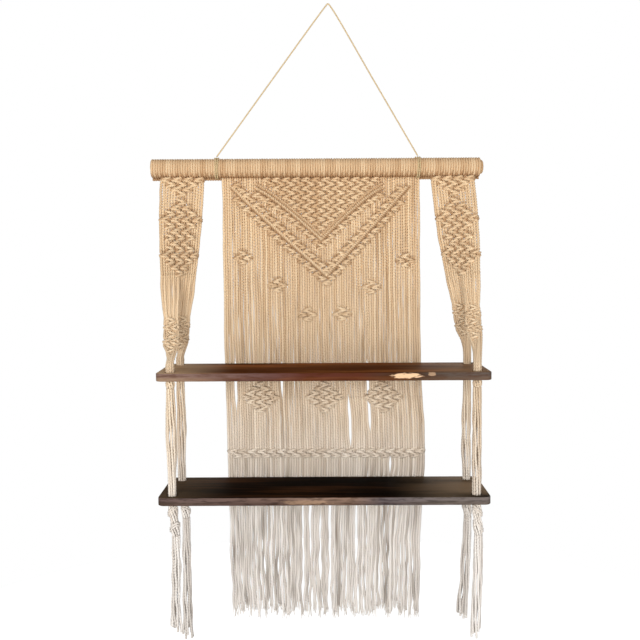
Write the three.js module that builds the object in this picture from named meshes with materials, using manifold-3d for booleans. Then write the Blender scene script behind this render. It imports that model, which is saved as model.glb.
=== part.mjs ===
// A hanging rope shelf: two boards carried by knotted cotton rope under a wrapped dowel, with a wide
// knotted backdrop behind them. Millimetres, +Z up, the wall at +Y, the viewer at -Y.
// The origin is the point of the hanging cord that lies on the nail.
import * as THREE from "three";
import { mergeVertices } from "three/addons/utils/BufferGeometryUtils.js";
import Module from "manifold-3d";

const wasm = await Module();
wasm.setup();

// Clearances
const SEAT_GAP = 0.3; // between two pieces that touch
const OVERRUN = 2; // how far a cut or a join runs past the faces it meets

// Rope
const ROPE = 4.6; // diameter of one cotton rope
const STRAND_PITCH = 4.86; // strands side by side
const STRAND_WIDTH = 4.1;
const KNOT_PITCH = 4 * STRAND_PITCH; // a square knot ties four strands
const KNOT_ROW = 8.6; // height from one row of knots to the next
const KNOT_HEIGHT = 9.8;
const KNOT_THICKNESS = 8.4;
const GAP_WIDTH = 6.4; // of the diamond gaps that a net leaves between its knots
const GAP_HEIGHT = 7.4;
const NET_RIM = 1.2; // least width of rope between a gap and its net's edge

// Dowel and the rope wrapped round it
const NAIL_OFFSET = 12; // the nail sits this far right of the boards' middle
const HANG_DROP = 315; // from the nail down to the dowel's axis
const DOWEL_LENGTH = 648;
const DOWEL_DIAMETER = 28;
const DOWEL_CENTER = -11;
const DOWEL_END_ROUND = 5;
const HITCH_PITCH = 2 * STRAND_PITCH; // one hitch holds one folded rope
const HITCH_SIDES = 8; // flats round each rib, with an edge straight down
const HITCH_RIB_SHARE = 0.78; // of the rope's diameter that a rib and a groove stand out
const HITCH_GROOVE_SHARE = 0.42;

// Hanging cord
const CORD_DIAMETER = 3;
const CORD_TIE_LEFT = -207;
const CORD_TIE_RIGHT = 186;
const CORD_TIE_TURNS = 2;
const CORD_TIE_PITCH = 3.75;
const NAIL_RADIUS = 4;
const NAIL_REACH_SHARE = 1.5; // of the nail's radius, where the cord leaves the nail
const NAIL_FALL_SHARE = 2;

// Backdrop
const BACKDROP_PLANE = 4; // its middle plane, towards the wall from the dowel's axis
const BACKDROP_CENTER = -4;
const STRAND_PAIRS = 40;
const POINT_HITCHES = { inner: 0, outer: 1 }; // how far right of the middle the chevrons point
const INNER_ARMS = { left: 128, right: 121 }; // sideways reach of each arm from the point
const OUTER_ARMS = { left: 185, right: 162 };
const INNER_POINT_DROP = 134;
const CHEVRON_SPACING = 84; // from one point down to the other
const CHEVRON_TOP_CLEARANCES = { inner: 1.6, outer: 12 }; // from the hitches to the arms' ends
const CHEVRON_SAG_POWERS = { inner: 1.2, outer: 0.97 };
const CHEVRON_STRETCHES = 6; // straight stretches in each arm
const RIDGE_PITCH = 13.5; // a chevron is two ridges, this far apart down the middle
const RIDGE_THICKNESS = 10;
const RIDGE_VALLEY_SHARE = 0.4; // of that thickness, between and beside the ridges
const BAND_NET_HEIGHT = 14; // of the knots over the outer chevron
const SMALL_DIAMOND_HALF_WIDTH = 17;
const SMALL_DIAMOND_HALF_HEIGHT = 14;
const SMALL_DIAMONDS = [
  // Each one's share of the way down from the outer chevron to the large diamonds
  { hitch: -16, downShare: 0.261 },
  { hitch: -9, downShare: 0.283 },
  { hitch: -3, downShare: 0.358 },
  { hitch: 4, downShare: 0.34 },
  { hitch: 10, downShare: 0.3 },
  { hitch: 17, downShare: 0.3 },
];
const LARGE_DIAMOND_HITCHES = { left: -13, middle: 0, right: 12 };
const LARGE_DIAMOND_SPACING = 235; // from the outer chevron's point down to their middle row
const LARGE_DIAMOND_KNOTS = 4; // knots in its widest row
const KNOT_BAND_SPACING = 104; // from there down to the two knot rows over the fringe
const TIE_HEIGHT = 3;
const FRINGE_LENGTH = 323;
const FRINGE_UNEVEN = 9;
const BACKDROP_LEAN = { left: 18, right: 9 }; // how far right its edges have drifted at the bottom
const BACKDROP_LEAN_POWER = 1.4;

// Side panels, each turning from along the wall at the dowel to across it at the board
const SIDE_PAIRS = 8;
const SIDE_STRAND_PITCH = 5.3;
const SIDE_CENTERS = { left: -274, right: 252 };
const SIDE_NET_DROP = 204; // where the net ends and the two legs begin
const SIDE_TRIANGLE_DROP = 56; // point of the small net under the dowel
const SIDE_NET_SPACING = 5; // from that point down to the long net under it
const SIDE_KNOT_ROW = 11.5;
const LEG_STRAND_SHARE = 1.6; // of the rope's diameter, for two strands side by side
const GATHER_SHARE = 1 / 3; // how wide a leg's strands still lie at its knots
const CLUSTER_SPACINGS = { left: 94, right: 72 }; // from the net down to a leg's knots
const CLUSTER_KNOTS = 3;
const CLUSTER_DIAMETER = 20;
const BUNDLE_DIAMETER = 16;
const BUNDLE_LOBE_SHARE = 0.07; // how far its strands stand out of its radius

// Boards
const BOARD_WIDTH = 610;
const BOARD_DEPTH = 150;
const BOARD_THICKNESS = 15;
const BOARD_CORNER = 12;
const BOARD_EDGE_ROUND = 1.5;
const BACKDROP_CLEARANCE = 4.8; // between the boards' back edge and the backdrop
const UPPER_BOARD_DROP = 383.5; // from the dowel's axis to the board's top
const BOARD_SPACING = 229;
const HOLE_CLEARANCE = 2; // between a bundle and the wall of its hole
const HOLE_FROM_END = 24;
const HOLE_FROM_EDGE = 20;

// Knots and tassels under the boards
const KNOT_LEDGE = 3.5; // how far a knot reaches past the hole that it carries
const KNOT_WAIST_SHARE = 0.7; // of a knot's width, between its turns and at its foot
const KNOT_SEAT_SHARE = 0.92; // where it carries the board
const KNOT_SWELL_SHARE = 0.3; // of a turn's height, where it reaches its full width
const UPPER_KNOT_HEIGHT = 14;
const LOWER_KNOT_HEIGHT = 30;
const LOWER_KNOT_COUNT = 2;
const TASSEL_STRANDS = 8;
const TASSEL_STRAND = 4;
const TASSEL_LENGTHS = { left_front: 188, left_back: 244, right_front: 194, right_back: 211 };
const TASSEL_SPREAD = 7;

// Worked out from the sizes above
const HITCH_RADIUS = DOWEL_DIAMETER / 2 + HITCH_RIB_SHARE * ROPE;
const HITCH_GROOVE = DOWEL_DIAMETER / 2 + HITCH_GROOVE_SHARE * ROPE;
const STRAND_TOP = HITCH_RADIUS + SEAT_GAP;
const OUTER_POINT_DROP = INNER_POINT_DROP + CHEVRON_SPACING;
const LARGE_DIAMOND_DROP = OUTER_POINT_DROP + LARGE_DIAMOND_SPACING;
const LARGE_DIAMOND_SLOPE = KNOT_ROW / HITCH_PITCH;
const LARGE_DIAMOND_HALF_WIDTH = LARGE_DIAMOND_KNOTS * HITCH_PITCH;
const KNOT_BAND_DROP = LARGE_DIAMOND_DROP + KNOT_BAND_SPACING;
const BACKDROP_WIDTH = STRAND_PAIRS * HITCH_PITCH;
const PAIR_WIDTH = HITCH_PITCH - (STRAND_PITCH - STRAND_WIDTH);
const SIDE_WIDTH = 2 * SIDE_PAIRS * SIDE_STRAND_PITCH;
const SIDE_DIAMOND_DROP = SIDE_TRIANGLE_DROP + SIDE_NET_SPACING;
const BOARD_BACK = BACKDROP_PLANE - KNOT_THICKNESS / 2 - BACKDROP_CLEARANCE;
const HOLE_DIAMETER = BUNDLE_DIAMETER + 2 * HOLE_CLEARANCE;
const BUNDLE_KNOT_DIAMETER = HOLE_DIAMETER + 2 * KNOT_LEDGE;
const HOLE_X = BOARD_WIDTH / 2 - HOLE_FROM_END;
const HOLE_BACK = BOARD_BACK - HOLE_FROM_EDGE;
const HOLE_FRONT = BOARD_BACK - BOARD_DEPTH + HOLE_FROM_EDGE;
const LOWER_BOARD_DROP = UPPER_BOARD_DROP + BOARD_SPACING;
const CORD_RADIUS = CORD_DIAMETER / 2;

const ROPE_COLOR = 0xcfb48c;
const WOOD_COLOR = 0xc89f6c;
const CORD_COLOR = 0xa8986a;
const BOARD_COLOR = 0x3a2618;
const ROPE_FINISH = new THREE.MeshStandardMaterial({ color: ROPE_COLOR, roughness: 0.95, metalness: 0 });
const DOWEL_FINISH = new THREE.MeshStandardMaterial({ color: WOOD_COLOR, roughness: 0.6, metalness: 0 });
const CORD_FINISH = new THREE.MeshStandardMaterial({ color: CORD_COLOR, roughness: 0.9, metalness: 0 });
const BOARD_FINISH = new THREE.MeshStandardMaterial({ color: BOARD_COLOR, roughness: 0.45, metalness: 0 });

const shelf = new THREE.Group();
shelf.position.x = -NAIL_OFFSET;
const underDowel = new THREE.Group(); // its z runs down from the dowel's axis
underDowel.position.z = -HANG_DROP;
shelf.add(underDowel);

function addMesh(group, name, geometry, material) {
  const mesh = new THREE.Mesh(geometry, material);
  mesh.name = name;
  group.add(mesh);
  return mesh;
}

// A closed geometry as a solid that can be joined and cut, and back
function solidFrom(geometry) {
  const plain = geometry.clone();
  plain.deleteAttribute("normal");
  plain.deleteAttribute("uv");
  const merged = mergeVertices(plain);
  return new wasm.Manifold(
    new wasm.Mesh({
      numProp: 3,
      vertProperties: merged.attributes.position.array,
      triVerts: new Uint32Array(merged.index.array),
    }),
  );
}

function geometryFrom(solid) {
  const made = solid.getMesh();
  const geometry = new THREE.BufferGeometry();
  geometry.setAttribute("position", new THREE.BufferAttribute(made.vertProperties, 3));
  geometry.setIndex(new THREE.BufferAttribute(made.triVerts, 1));
  return geometry;
}

function joined(geometries) {
  return geometryFrom(geometries.map(solidFrom).reduce((all, next) => all.add(next)));
}

function cut(geometry, cutters) {
  const solid = solidFrom(geometry);
  return geometryFrom(cutters.map(solidFrom).reduce((left, next) => left.subtract(next), solid));
}

// A flat shape, drawn in x and z, as a sheet of this thickness round the plane y = 0
function sheet(shape, thickness) {
  const geometry = new THREE.ExtrudeGeometry(shape, {
    depth: thickness,
    bevelEnabled: false,
  });
  geometry.rotateX(Math.PI / 2);
  geometry.translate(0, thickness / 2, 0);
  return geometry;
}

// A tube with flat ends along a list of points
function tube(points, diameter, sides, steps) {
  const section = new THREE.Shape(
    Array.from({ length: sides }, (_, i) => {
      const angle = (2 * Math.PI * i) / sides;
      return new THREE.Vector2(
        (diameter / 2) * Math.cos(angle),
        (diameter / 2) * Math.sin(angle),
      );
    }),
  );
  return new THREE.ExtrudeGeometry(section, {
    steps,
    extrudePath: new THREE.CatmullRomCurve3(points),
  });
}

// Revolved about the z axis from points given as radius and height
function turned(points, segments) {
  const geometry = new THREE.LatheGeometry(
    points.map(([radius, height]) => new THREE.Vector2(radius, height)),
    segments,
  );
  geometry.rotateX(Math.PI / 2);
  return geometry;
}

// Hanging cord: up from one tie, over the nail and down to the other
function hangingCord() {
  const tieTop = -HANG_DROP + HITCH_RADIUS + SEAT_GAP + CORD_DIAMETER + CORD_RADIUS;
  const over = NAIL_OFFSET;
  const points = [
    new THREE.Vector3(CORD_TIE_LEFT, 0, tieTop),
    new THREE.Vector3((CORD_TIE_LEFT + over - NAIL_RADIUS) / 2, 0, (tieTop - NAIL_RADIUS) / 2),
    new THREE.Vector3(over - NAIL_REACH_SHARE * NAIL_RADIUS, 0, -NAIL_FALL_SHARE * NAIL_RADIUS),
    new THREE.Vector3(over, 0, -CORD_RADIUS),
    new THREE.Vector3(over + NAIL_REACH_SHARE * NAIL_RADIUS, 0, -NAIL_FALL_SHARE * NAIL_RADIUS),
    new THREE.Vector3((CORD_TIE_RIGHT + over + NAIL_RADIUS) / 2, 0, (tieTop - NAIL_RADIUS) / 2),
    new THREE.Vector3(CORD_TIE_RIGHT, 0, tieTop),
  ];
  addMesh(shelf, "hanging_cord", tube(points, CORD_DIAMETER, 8, 18), CORD_FINISH);
}

// The least gap between points of a winding that lie more than half a turn apart
function leastTurnGap(points) {
  const apart = points.length / CORD_TIE_TURNS / 2;
  const gaps = points.flatMap((a, i) =>
    points.slice(i + Math.ceil(apart)).map((b) => a.distanceTo(b) - CORD_DIAMETER),
  );
  return Math.min(...gaps);
}

// The cord's end wound round the wrapped dowel, as one unbroken helix
function cordTie(name, x) {
  const radius = HITCH_RADIUS + SEAT_GAP + CORD_RADIUS;
  const steps = 16 * CORD_TIE_TURNS;
  const points = Array.from({ length: steps + 1 }, (_, i) => {
    const turn = i / steps - 0.5;
    const angle = 2 * Math.PI * CORD_TIE_TURNS * turn;
    return new THREE.Vector3(
      x + CORD_TIE_PITCH * CORD_TIE_TURNS * turn,
      radius * Math.sin(angle),
      radius * Math.cos(angle),
    );
  });
  addMesh(underDowel, name, tube(points, CORD_DIAMETER, 6, steps), CORD_FINISH);
  console.log(name, "least gap between turns", leastTurnGap(points).toFixed(2));
}

function dowel() {
  const radius = DOWEL_DIAMETER / 2;
  const half = DOWEL_LENGTH / 2;
  const arc = [0, 0.5, 1].map((share) => {
    const angle = (Math.PI / 2) * share;
    return [
      radius - DOWEL_END_ROUND * (1 - Math.sin(angle)),
      half - DOWEL_END_ROUND * (1 - Math.cos(angle)),
    ];
  });
  const profile = [
    [0, -half],
    ...arc.map(([r, z]) => [r, -z]),
    ...arc.reverse(),
    [0, half],
  ];
  const geometry = turned(profile, 16);
  geometry.rotateY(Math.PI / 2);
  geometry.translate(DOWEL_CENTER, 0, 0);
  addMesh(underDowel, "dowel", geometry, DOWEL_FINISH);
}

// One group of hitches: a sleeve round the dowel with a rib for each folded rope
function hitchRow(name, start, count) {
  const bore = (DOWEL_DIAMETER / 2 + SEAT_GAP) / Math.cos(Math.PI / HITCH_SIDES);
  const end = start + count * HITCH_PITCH - SEAT_GAP;
  const profile = [[bore, start]];
  for (let i = 0; i < count; i++) {
    profile.push([HITCH_GROOVE, start + i * HITCH_PITCH]);
    profile.push([HITCH_RADIUS, start + (i + 0.5) * HITCH_PITCH]);
  }
  profile.push([HITCH_GROOVE, end], [bore, end], [bore, start]);
  const geometry = turned(profile, HITCH_SIDES);
  geometry.rotateY(Math.PI / 2);
  addMesh(underDowel, name, geometry, ROPE_FINISH);
}

// As many hitches on each side of the backdrop's as the dowel has room for
function hitchRows() {
  const left = BACKDROP_CENTER - BACKDROP_WIDTH / 2;
  const right = BACKDROP_CENTER + BACKDROP_WIDTH / 2;
  const leftCount = Math.floor((left - DOWEL_CENTER + DOWEL_LENGTH / 2) / HITCH_PITCH);
  const rightCount = Math.floor((DOWEL_CENTER + DOWEL_LENGTH / 2 - right) / HITCH_PITCH);
  hitchRow("left_hitches", left - leftCount * HITCH_PITCH, leftCount);
  hitchRow("center_hitches", left, STRAND_PAIRS);
  hitchRow("right_hitches", right, rightCount);
}

function hitchX(hitch) {
  return BACKDROP_CENTER + hitch * HITCH_PITCH;
}

// Backdrop. A chevron's two ends, its point and how far below the dowel's axis its middle runs at
// x, as straight stretches.
function chevronWay(which, arms, pointDrop) {
  const point = hitchX(POINT_HITCHES[which]);
  const topDrop = STRAND_TOP + CHEVRON_TOP_CLEARANCES[which] + RIDGE_PITCH;
  const drops = Array.from({ length: CHEVRON_STRETCHES + 1 }, (_, i) => {
    const rise = (1 - i / CHEVRON_STRETCHES) ** CHEVRON_SAG_POWERS[which];
    return topDrop + (pointDrop - topDrop) * rise;
  });
  const line = (x) => {
    const reach = x < point ? arms.left : arms.right;
    const share = Math.min(Math.abs(x - point) / reach, 1);
    const i = Math.min(Math.floor(CHEVRON_STRETCHES * share), CHEVRON_STRETCHES - 1);
    return drops[i] + (drops[i + 1] - drops[i]) * (CHEVRON_STRETCHES * share - i);
  };
  return { left: point - arms.left, point, right: point + arms.right, line };
}

const inner = chevronWay("inner", INNER_ARMS, INNER_POINT_DROP);
const outer = chevronWay("outer", OUTER_ARMS, OUTER_POINT_DROP);
const tieReach = (CORD_TIE_TURNS * CORD_TIE_PITCH) / 2 + CORD_RADIUS + SEAT_GAP;
const underDowelLine = (x) =>
  Math.abs(x - CORD_TIE_RIGHT) < tieReach ? STRAND_TOP + CORD_DIAMETER + SEAT_GAP : STRAND_TOP;

// The outline between two drop lines, through the places xs, as points in x and z
function outlineBetween(xs, topLine, bottomLine) {
  const top = xs.map((x) => new THREE.Vector2(x, -topLine(x)));
  const bottom = xs.map((x) => new THREE.Vector2(x, -bottomLine(x)));
  const lower = bottom.filter((point, i) => point.y < top[i].y);
  return new THREE.Shape([...top, ...lower.reverse()]);
}

// A flat sheet of knots between two drop lines, with a diamond gap at each place of a lattice where
// the whole gap lies inside. Every other row of gaps is shifted by half a knot.
function netSheet(xs, topLine, bottomLine, lattice) {
  const gaps = [];
  for (let j = 0; j < lattice.rows; j++) {
    for (let i = -lattice.columns; i <= lattice.columns; i++) {
      const x = lattice.x + (i + ((j + 1) % 2) / 2) * lattice.knotPitch;
      const drop = lattice.drop + j * lattice.row;
      const corners = [
        [x - GAP_WIDTH / 2, drop],
        [x, drop - GAP_HEIGHT / 2],
        [x + GAP_WIDTH / 2, drop],
        [x, drop + GAP_HEIGHT / 2],
      ];
      const inside = corners.every(
        ([a, b]) =>
          a > xs[0] &&
          a < xs[xs.length - 1] &&
          b > topLine(a) + NET_RIM &&
          b < bottomLine(a) - NET_RIM,
      );
      if (!inside) continue;
      const shape = new THREE.Shape(corners.map(([a, b]) => new THREE.Vector2(a, -b)));
      gaps.push(sheet(shape, KNOT_THICKNESS + 2 * OVERRUN));
    }
  }
  return cut(sheet(outlineBetween(xs, topLine, bottomLine), KNOT_THICKNESS), gaps);
}

// A strand or a pair of strands whose ends follow two drop lines
function strand(left, right, topLine, bottomLine) {
  return sheet(outlineBetween([left, right], topLine, bottomLine), STRAND_WIDTH);
}

// The left edges of strands side by side across the backdrop
function strandLefts(count, pitch, width) {
  return Array.from(
    { length: count },
    (_, i) => BACKDROP_CENTER + (i - count / 2) * pitch + (pitch - width) / 2,
  );
}

// A thin band across a row of strands, down from a drop line, where the cords cross and hold them
function tieBand(xs, topLine) {
  return sheet(
    outlineBetween(xs, topLine, (x) => topLine(x) + TIE_HEIGHT),
    STRAND_WIDTH,
  );
}

// The places where a chevron's line bends, from the end of one arm to the end of the other
function stations(way) {
  return Array.from({ length: 2 * CHEVRON_STRETCHES + 1 }, (_, i) => {
    const share = i / CHEVRON_STRETCHES - 1;
    return way.point + share * (share < 0 ? way.point - way.left : way.right - way.point);
  });
}

// Those places between two ends, with the ends themselves
function stationsBetween(way, left, right) {
  return [left, ...stations(way).filter((x) => x > left && x < right), right];
}

// Made straight down, then leant: the further down a point lies, the further right it has drifted
function addToBackdrop(name, geometry) {
  const place = geometry.attributes.position;
  const bottom = KNOT_BAND_DROP + FRINGE_LENGTH;
  for (let i = 0; i < place.count; i++) {
    const across = (place.getX(i) - BACKDROP_CENTER) / BACKDROP_WIDTH + 1 / 2;
    const down = Math.max(0, (-place.getZ(i) - STRAND_TOP) / bottom) ** BACKDROP_LEAN_POWER;
    const lean = BACKDROP_LEAN.left + (BACKDROP_LEAN.right - BACKDROP_LEAN.left) * across;
    place.setX(i, place.getX(i) + lean * down);
  }
  geometry.translate(0, BACKDROP_PLANE, 0);
  addMesh(underDowel, name, geometry, ROPE_FINISH);
}

// The double ridge of half hitches: a two-lobed bar, sheared down to follow its line
function chevron(name, way) {
  const lobes = 2;
  const pointsPerLobe = 3;
  const side = Array.from({ length: lobes * pointsPerLobe + 1 }, (_, i) => {
    const share = i / (lobes * pointsPerLobe);
    const bulge = Math.sqrt(Math.abs(Math.sin(Math.PI * lobes * share)));
    const thickShare = RIDGE_VALLEY_SHARE + (1 - RIDGE_VALLEY_SHARE) * bulge;
    return [(RIDGE_THICKNESS / 2) * thickShare, RIDGE_PITCH * (2 * share - 1)];
  });
  const section = [
    ...side.map(([y, z]) => new THREE.Vector2(y, z)),
    ...[...side].reverse().map(([y, z]) => new THREE.Vector2(-y, z)),
  ];
  const xs = stations(way);
  const last = xs.length - 1;
  const geometry = new THREE.ExtrudeGeometry(new THREE.Shape(section), {
    depth: last,
    steps: last,
    bevelEnabled: false,
  });
  const place = geometry.attributes.position;
  for (let i = 0; i < place.count; i++) {
    const x = xs[Math.round(place.getZ(i))];
    place.setXYZ(i, x, place.getX(i), place.getY(i) - way.line(x));
  }
  addToBackdrop(name, geometry);
}

// The lattice that all nets of the backdrop share
function backdropLattice() {
  return {
    x: hitchX(POINT_HITCHES.outer),
    drop: STRAND_TOP + KNOT_HEIGHT / 2,
    knotPitch: KNOT_PITCH,
    row: KNOT_ROW,
    columns: STRAND_PAIRS / 2,
    rows: Math.ceil(OUTER_POINT_DROP / KNOT_ROW),
  };
}

// The open net over the inner chevron
function backdropNet() {
  const edge = (x) => inner.line(x) - RIDGE_PITCH - SEAT_GAP;
  const net = netSheet(stations(inner), underDowelLine, edge, backdropLattice());
  addToBackdrop("backdrop_net", net);
}

// The band between the chevrons: strands over a narrow net along its lower edge
function chevronBand() {
  const bottom = (x) => outer.line(x) - RIDGE_PITCH - SEAT_GAP;
  const netTop = (x) => bottom(x) - BAND_NET_HEIGHT;
  const deepEnough = (x) => netTop(x) > strandTop(x, inner)(x);
  const lefts = strandLefts(STRAND_PAIRS, HITCH_PITCH, PAIR_WIDTH).filter(
    (x) => deepEnough(x) && deepEnough(x + PAIR_WIDTH),
  );
  const strands = lefts.map((x) => {
    const top = strandTop(x, inner);
    return strand(x, x + PAIR_WIDTH, top, (at) => netTop(at) + TIE_HEIGHT);
  });
  const xs = stationsBetween(outer, lefts[0], lefts[lefts.length - 1] + PAIR_WIDTH);
  const net = netSheet(xs, netTop, bottom, backdropLattice());
  addToBackdrop("chevron_band", joined([...strands, net]));
}

// Half the height of a large diamond at x, over and under its widest row
function diamondHalf(x) {
  const halves = Object.values(LARGE_DIAMOND_HITCHES).map(
    (hitch) => LARGE_DIAMOND_SLOPE * (LARGE_DIAMOND_HALF_WIDTH - Math.abs(x - hitchX(hitch))),
  );
  return Math.max(0, ...halves) + SEAT_GAP;
}

// Where a pair of strands starts: under a chevron, or under the dowel when wholly beside it
function strandTop(left, way) {
  const beside = left + PAIR_WIDTH < way.left - SEAT_GAP || left > way.right + SEAT_GAP;
  return beside ? underDowelLine : (x) => way.line(x) + RIDGE_PITCH + SEAT_GAP;
}

// The long strands under the outer chevron, with the six small diamonds tied in them
function dropStrands() {
  const underChevron = (x) => outer.line(x) + RIDGE_PITCH + SEAT_GAP;
  const bottom = (x) => LARGE_DIAMOND_DROP - diamondHalf(x);
  const lefts = strandLefts(STRAND_PAIRS, HITCH_PITCH, PAIR_WIDTH);
  const strands = lefts.map((x) =>
    strand(x, x + PAIR_WIDTH, strandTop(x, outer), bottom),
  );
  const xs = stationsBetween(outer, lefts[0], lefts[lefts.length - 1] + PAIR_WIDTH);
  const knots = SMALL_DIAMONDS.map(({ hitch, downShare }) => {
    const from = underChevron(hitchX(hitch));
    const drop = from + downShare * (LARGE_DIAMOND_DROP - from);
    const diamond = new THREE.Shape([
      new THREE.Vector2(hitchX(hitch), -drop - SMALL_DIAMOND_HALF_HEIGHT),
      new THREE.Vector2(hitchX(hitch) + SMALL_DIAMOND_HALF_WIDTH, -drop),
      new THREE.Vector2(hitchX(hitch), -drop + SMALL_DIAMOND_HALF_HEIGHT),
      new THREE.Vector2(hitchX(hitch) - SMALL_DIAMOND_HALF_WIDTH, -drop),
    ]);
    return sheet(diamond, KNOT_THICKNESS);
  });
  const band = tieBand(xs, underChevron);
  addToBackdrop("drop_strands", joined([...strands, band, ...knots]));
}

function largeDiamond(name, hitch) {
  const x = hitchX(hitch);
  const lattice = {
    x: x + KNOT_PITCH / 2,
    drop: LARGE_DIAMOND_DROP - (LARGE_DIAMOND_KNOTS - 1) * KNOT_ROW,
    knotPitch: KNOT_PITCH,
    row: KNOT_ROW,
    columns: LARGE_DIAMOND_KNOTS,
    rows: 2 * LARGE_DIAMOND_KNOTS - 1,
  };
  const xs = [x - LARGE_DIAMOND_HALF_WIDTH, x, x + LARGE_DIAMOND_HALF_WIDTH];
  const half = (at) => LARGE_DIAMOND_SLOPE * (LARGE_DIAMOND_HALF_WIDTH - Math.abs(at - x));
  const top = (at) => LARGE_DIAMOND_DROP - half(at);
  const bottom = (at) => LARGE_DIAMOND_DROP + half(at);
  addToBackdrop(name, netSheet(xs, top, bottom, lattice));
}

function middleStrands() {
  const top = (x) => LARGE_DIAMOND_DROP + diamondHalf(x);
  const bottom = () => KNOT_BAND_DROP - SEAT_GAP;
  const lefts = strandLefts(STRAND_PAIRS, HITCH_PITCH, PAIR_WIDTH);
  const strands = lefts.map((x) => strand(x, x + PAIR_WIDTH, top, bottom));
  const ends = [lefts[0], lefts[lefts.length - 1] + PAIR_WIDTH];
  const band = tieBand(ends, () => bottom() - TIE_HEIGHT);
  addToBackdrop("middle_strands", joined([...strands, band]));
}

// Two rows of knots across the backdrop, the lower one shifted, so that both edges are wavy
function knotBand() {
  const knots = STRAND_PAIRS / 2;
  const left = BACKDROP_CENTER - BACKDROP_WIDTH / 2;
  const bottomDrop = KNOT_BAND_DROP + KNOT_HEIGHT + KNOT_ROW;
  const dip = (KNOT_HEIGHT + KNOT_ROW) / 4;
  const top = [];
  const bottom = [];
  for (let i = 0; i < knots; i++) {
    const x = left + i * KNOT_PITCH;
    top.push([x, KNOT_BAND_DROP + dip], [x + KNOT_PITCH / 4, KNOT_BAND_DROP]);
    top.push([x + (3 * KNOT_PITCH) / 4, KNOT_BAND_DROP]);
    bottom.push([x, bottomDrop], [x + KNOT_PITCH / 2, bottomDrop - dip]);
  }
  const end = [
    [left + BACKDROP_WIDTH, KNOT_BAND_DROP + dip],
    [left + BACKDROP_WIDTH, bottomDrop],
  ];
  const outline = [...top, ...end, ...bottom.reverse()];
  const points = outline.map(([x, drop]) => new THREE.Vector2(x, -drop));
  addToBackdrop("knot_band", sheet(new THREE.Shape(points), KNOT_THICKNESS));
}

function fringe() {
  const topDrop = KNOT_BAND_DROP + KNOT_HEIGHT + KNOT_ROW + SEAT_GAP;
  const top = () => topDrop;
  const lefts = strandLefts(2 * STRAND_PAIRS, STRAND_PITCH, STRAND_WIDTH);
  const strands = lefts.map((x, i) => {
    const uneven = FRINGE_UNEVEN * Math.sin(i * i);
    return strand(x, x + STRAND_WIDTH, top, () => topDrop + FRINGE_LENGTH + uneven);
  });
  const ends = [lefts[0], lefts[lefts.length - 1] + STRAND_WIDTH];
  addToBackdrop("fringe", joined([...strands, tieBand(ends, top)]));
}

// Side panels. Where the point at s across and n through the panel lies, this far down: the panel
// turns a quarter turn on its way to the board, its outer edge to the front.
function sidePlace(side, s, n, drop) {
  const sign = side === "left" ? 1 : -1;
  const share = drop / UPPER_BOARD_DROP;
  const turn = (sign * share * Math.PI) / 2;
  const middle = SIDE_CENTERS[side] + share * (-sign * HOLE_X - SIDE_CENTERS[side]);
  const out = (share * (HOLE_FRONT + HOLE_BACK)) / 2;
  return new THREE.Vector3(
    middle + s * Math.cos(turn) - n * Math.sin(turn),
    out + s * Math.sin(turn) + n * Math.cos(turn),
    -drop,
  );
}

function sidePairPlaces() {
  return Array.from(
    { length: SIDE_PAIRS },
    (_, i) => (i - (SIDE_PAIRS - 1) / 2) * 2 * SIDE_STRAND_PITCH,
  );
}

// The knotted upper part of a side panel, made flat and then turned: a small net that points down,
// a long diamond net under it, and the strands round them
function sideNet(side) {
  const half = SIDE_STRAND_PITCH - (STRAND_PITCH - STRAND_WIDTH) / 2;
  const edge = SIDE_WIDTH / 2;
  const slope = SIDE_KNOT_ROW / (2 * SIDE_STRAND_PITCH);
  const pointed = [-edge, 0, edge];
  const netBottom = SIDE_NET_DROP - OVERRUN;
  const triangleEdge = (s) =>
    STRAND_TOP + (SIDE_TRIANGLE_DROP - STRAND_TOP) * (1 - Math.abs(s) / edge);
  const diamondTop = (s) => SIDE_DIAMOND_DROP + slope * Math.abs(s);
  const diamondBottom = (s) => netBottom - slope * Math.abs(s);
  const lattice = {
    x: 0,
    drop: STRAND_TOP + KNOT_HEIGHT / 2,
    knotPitch: 4 * SIDE_STRAND_PITCH,
    row: KNOT_ROW,
    columns: SIDE_PAIRS / 2,
    rows: Math.ceil(SIDE_NET_DROP / KNOT_ROW),
  };
  const low = { ...lattice, drop: SIDE_DIAMOND_DROP + KNOT_HEIGHT / 2, row: SIDE_KNOT_ROW };
  const upperTop = (s) => Math.max(STRAND_TOP, triangleEdge(s) - OVERRUN);
  const strands = sidePairPlaces().flatMap((s) => [
    strand(s - half, s + half, upperTop, (at) => diamondTop(at) + OVERRUN),
    strand(s - half, s + half, (at) => diamondBottom(at) - OVERRUN, () => SIDE_NET_DROP),
  ]);
  const geometry = joined([
    netSheet(pointed, underDowelLine, triangleEdge, lattice),
    netSheet(pointed, diamondTop, diamondBottom, low),
    ...strands,
  ]);
  const place = geometry.attributes.position;
  for (let i = 0; i < place.count; i++) {
    const to = sidePlace(side, place.getX(i), place.getY(i), -place.getZ(i));
    place.setXYZ(i, to.x, to.y, to.z);
  }
  addMesh(underDowel, `${side}_panel_net`, geometry, ROPE_FINISH);
}

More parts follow.
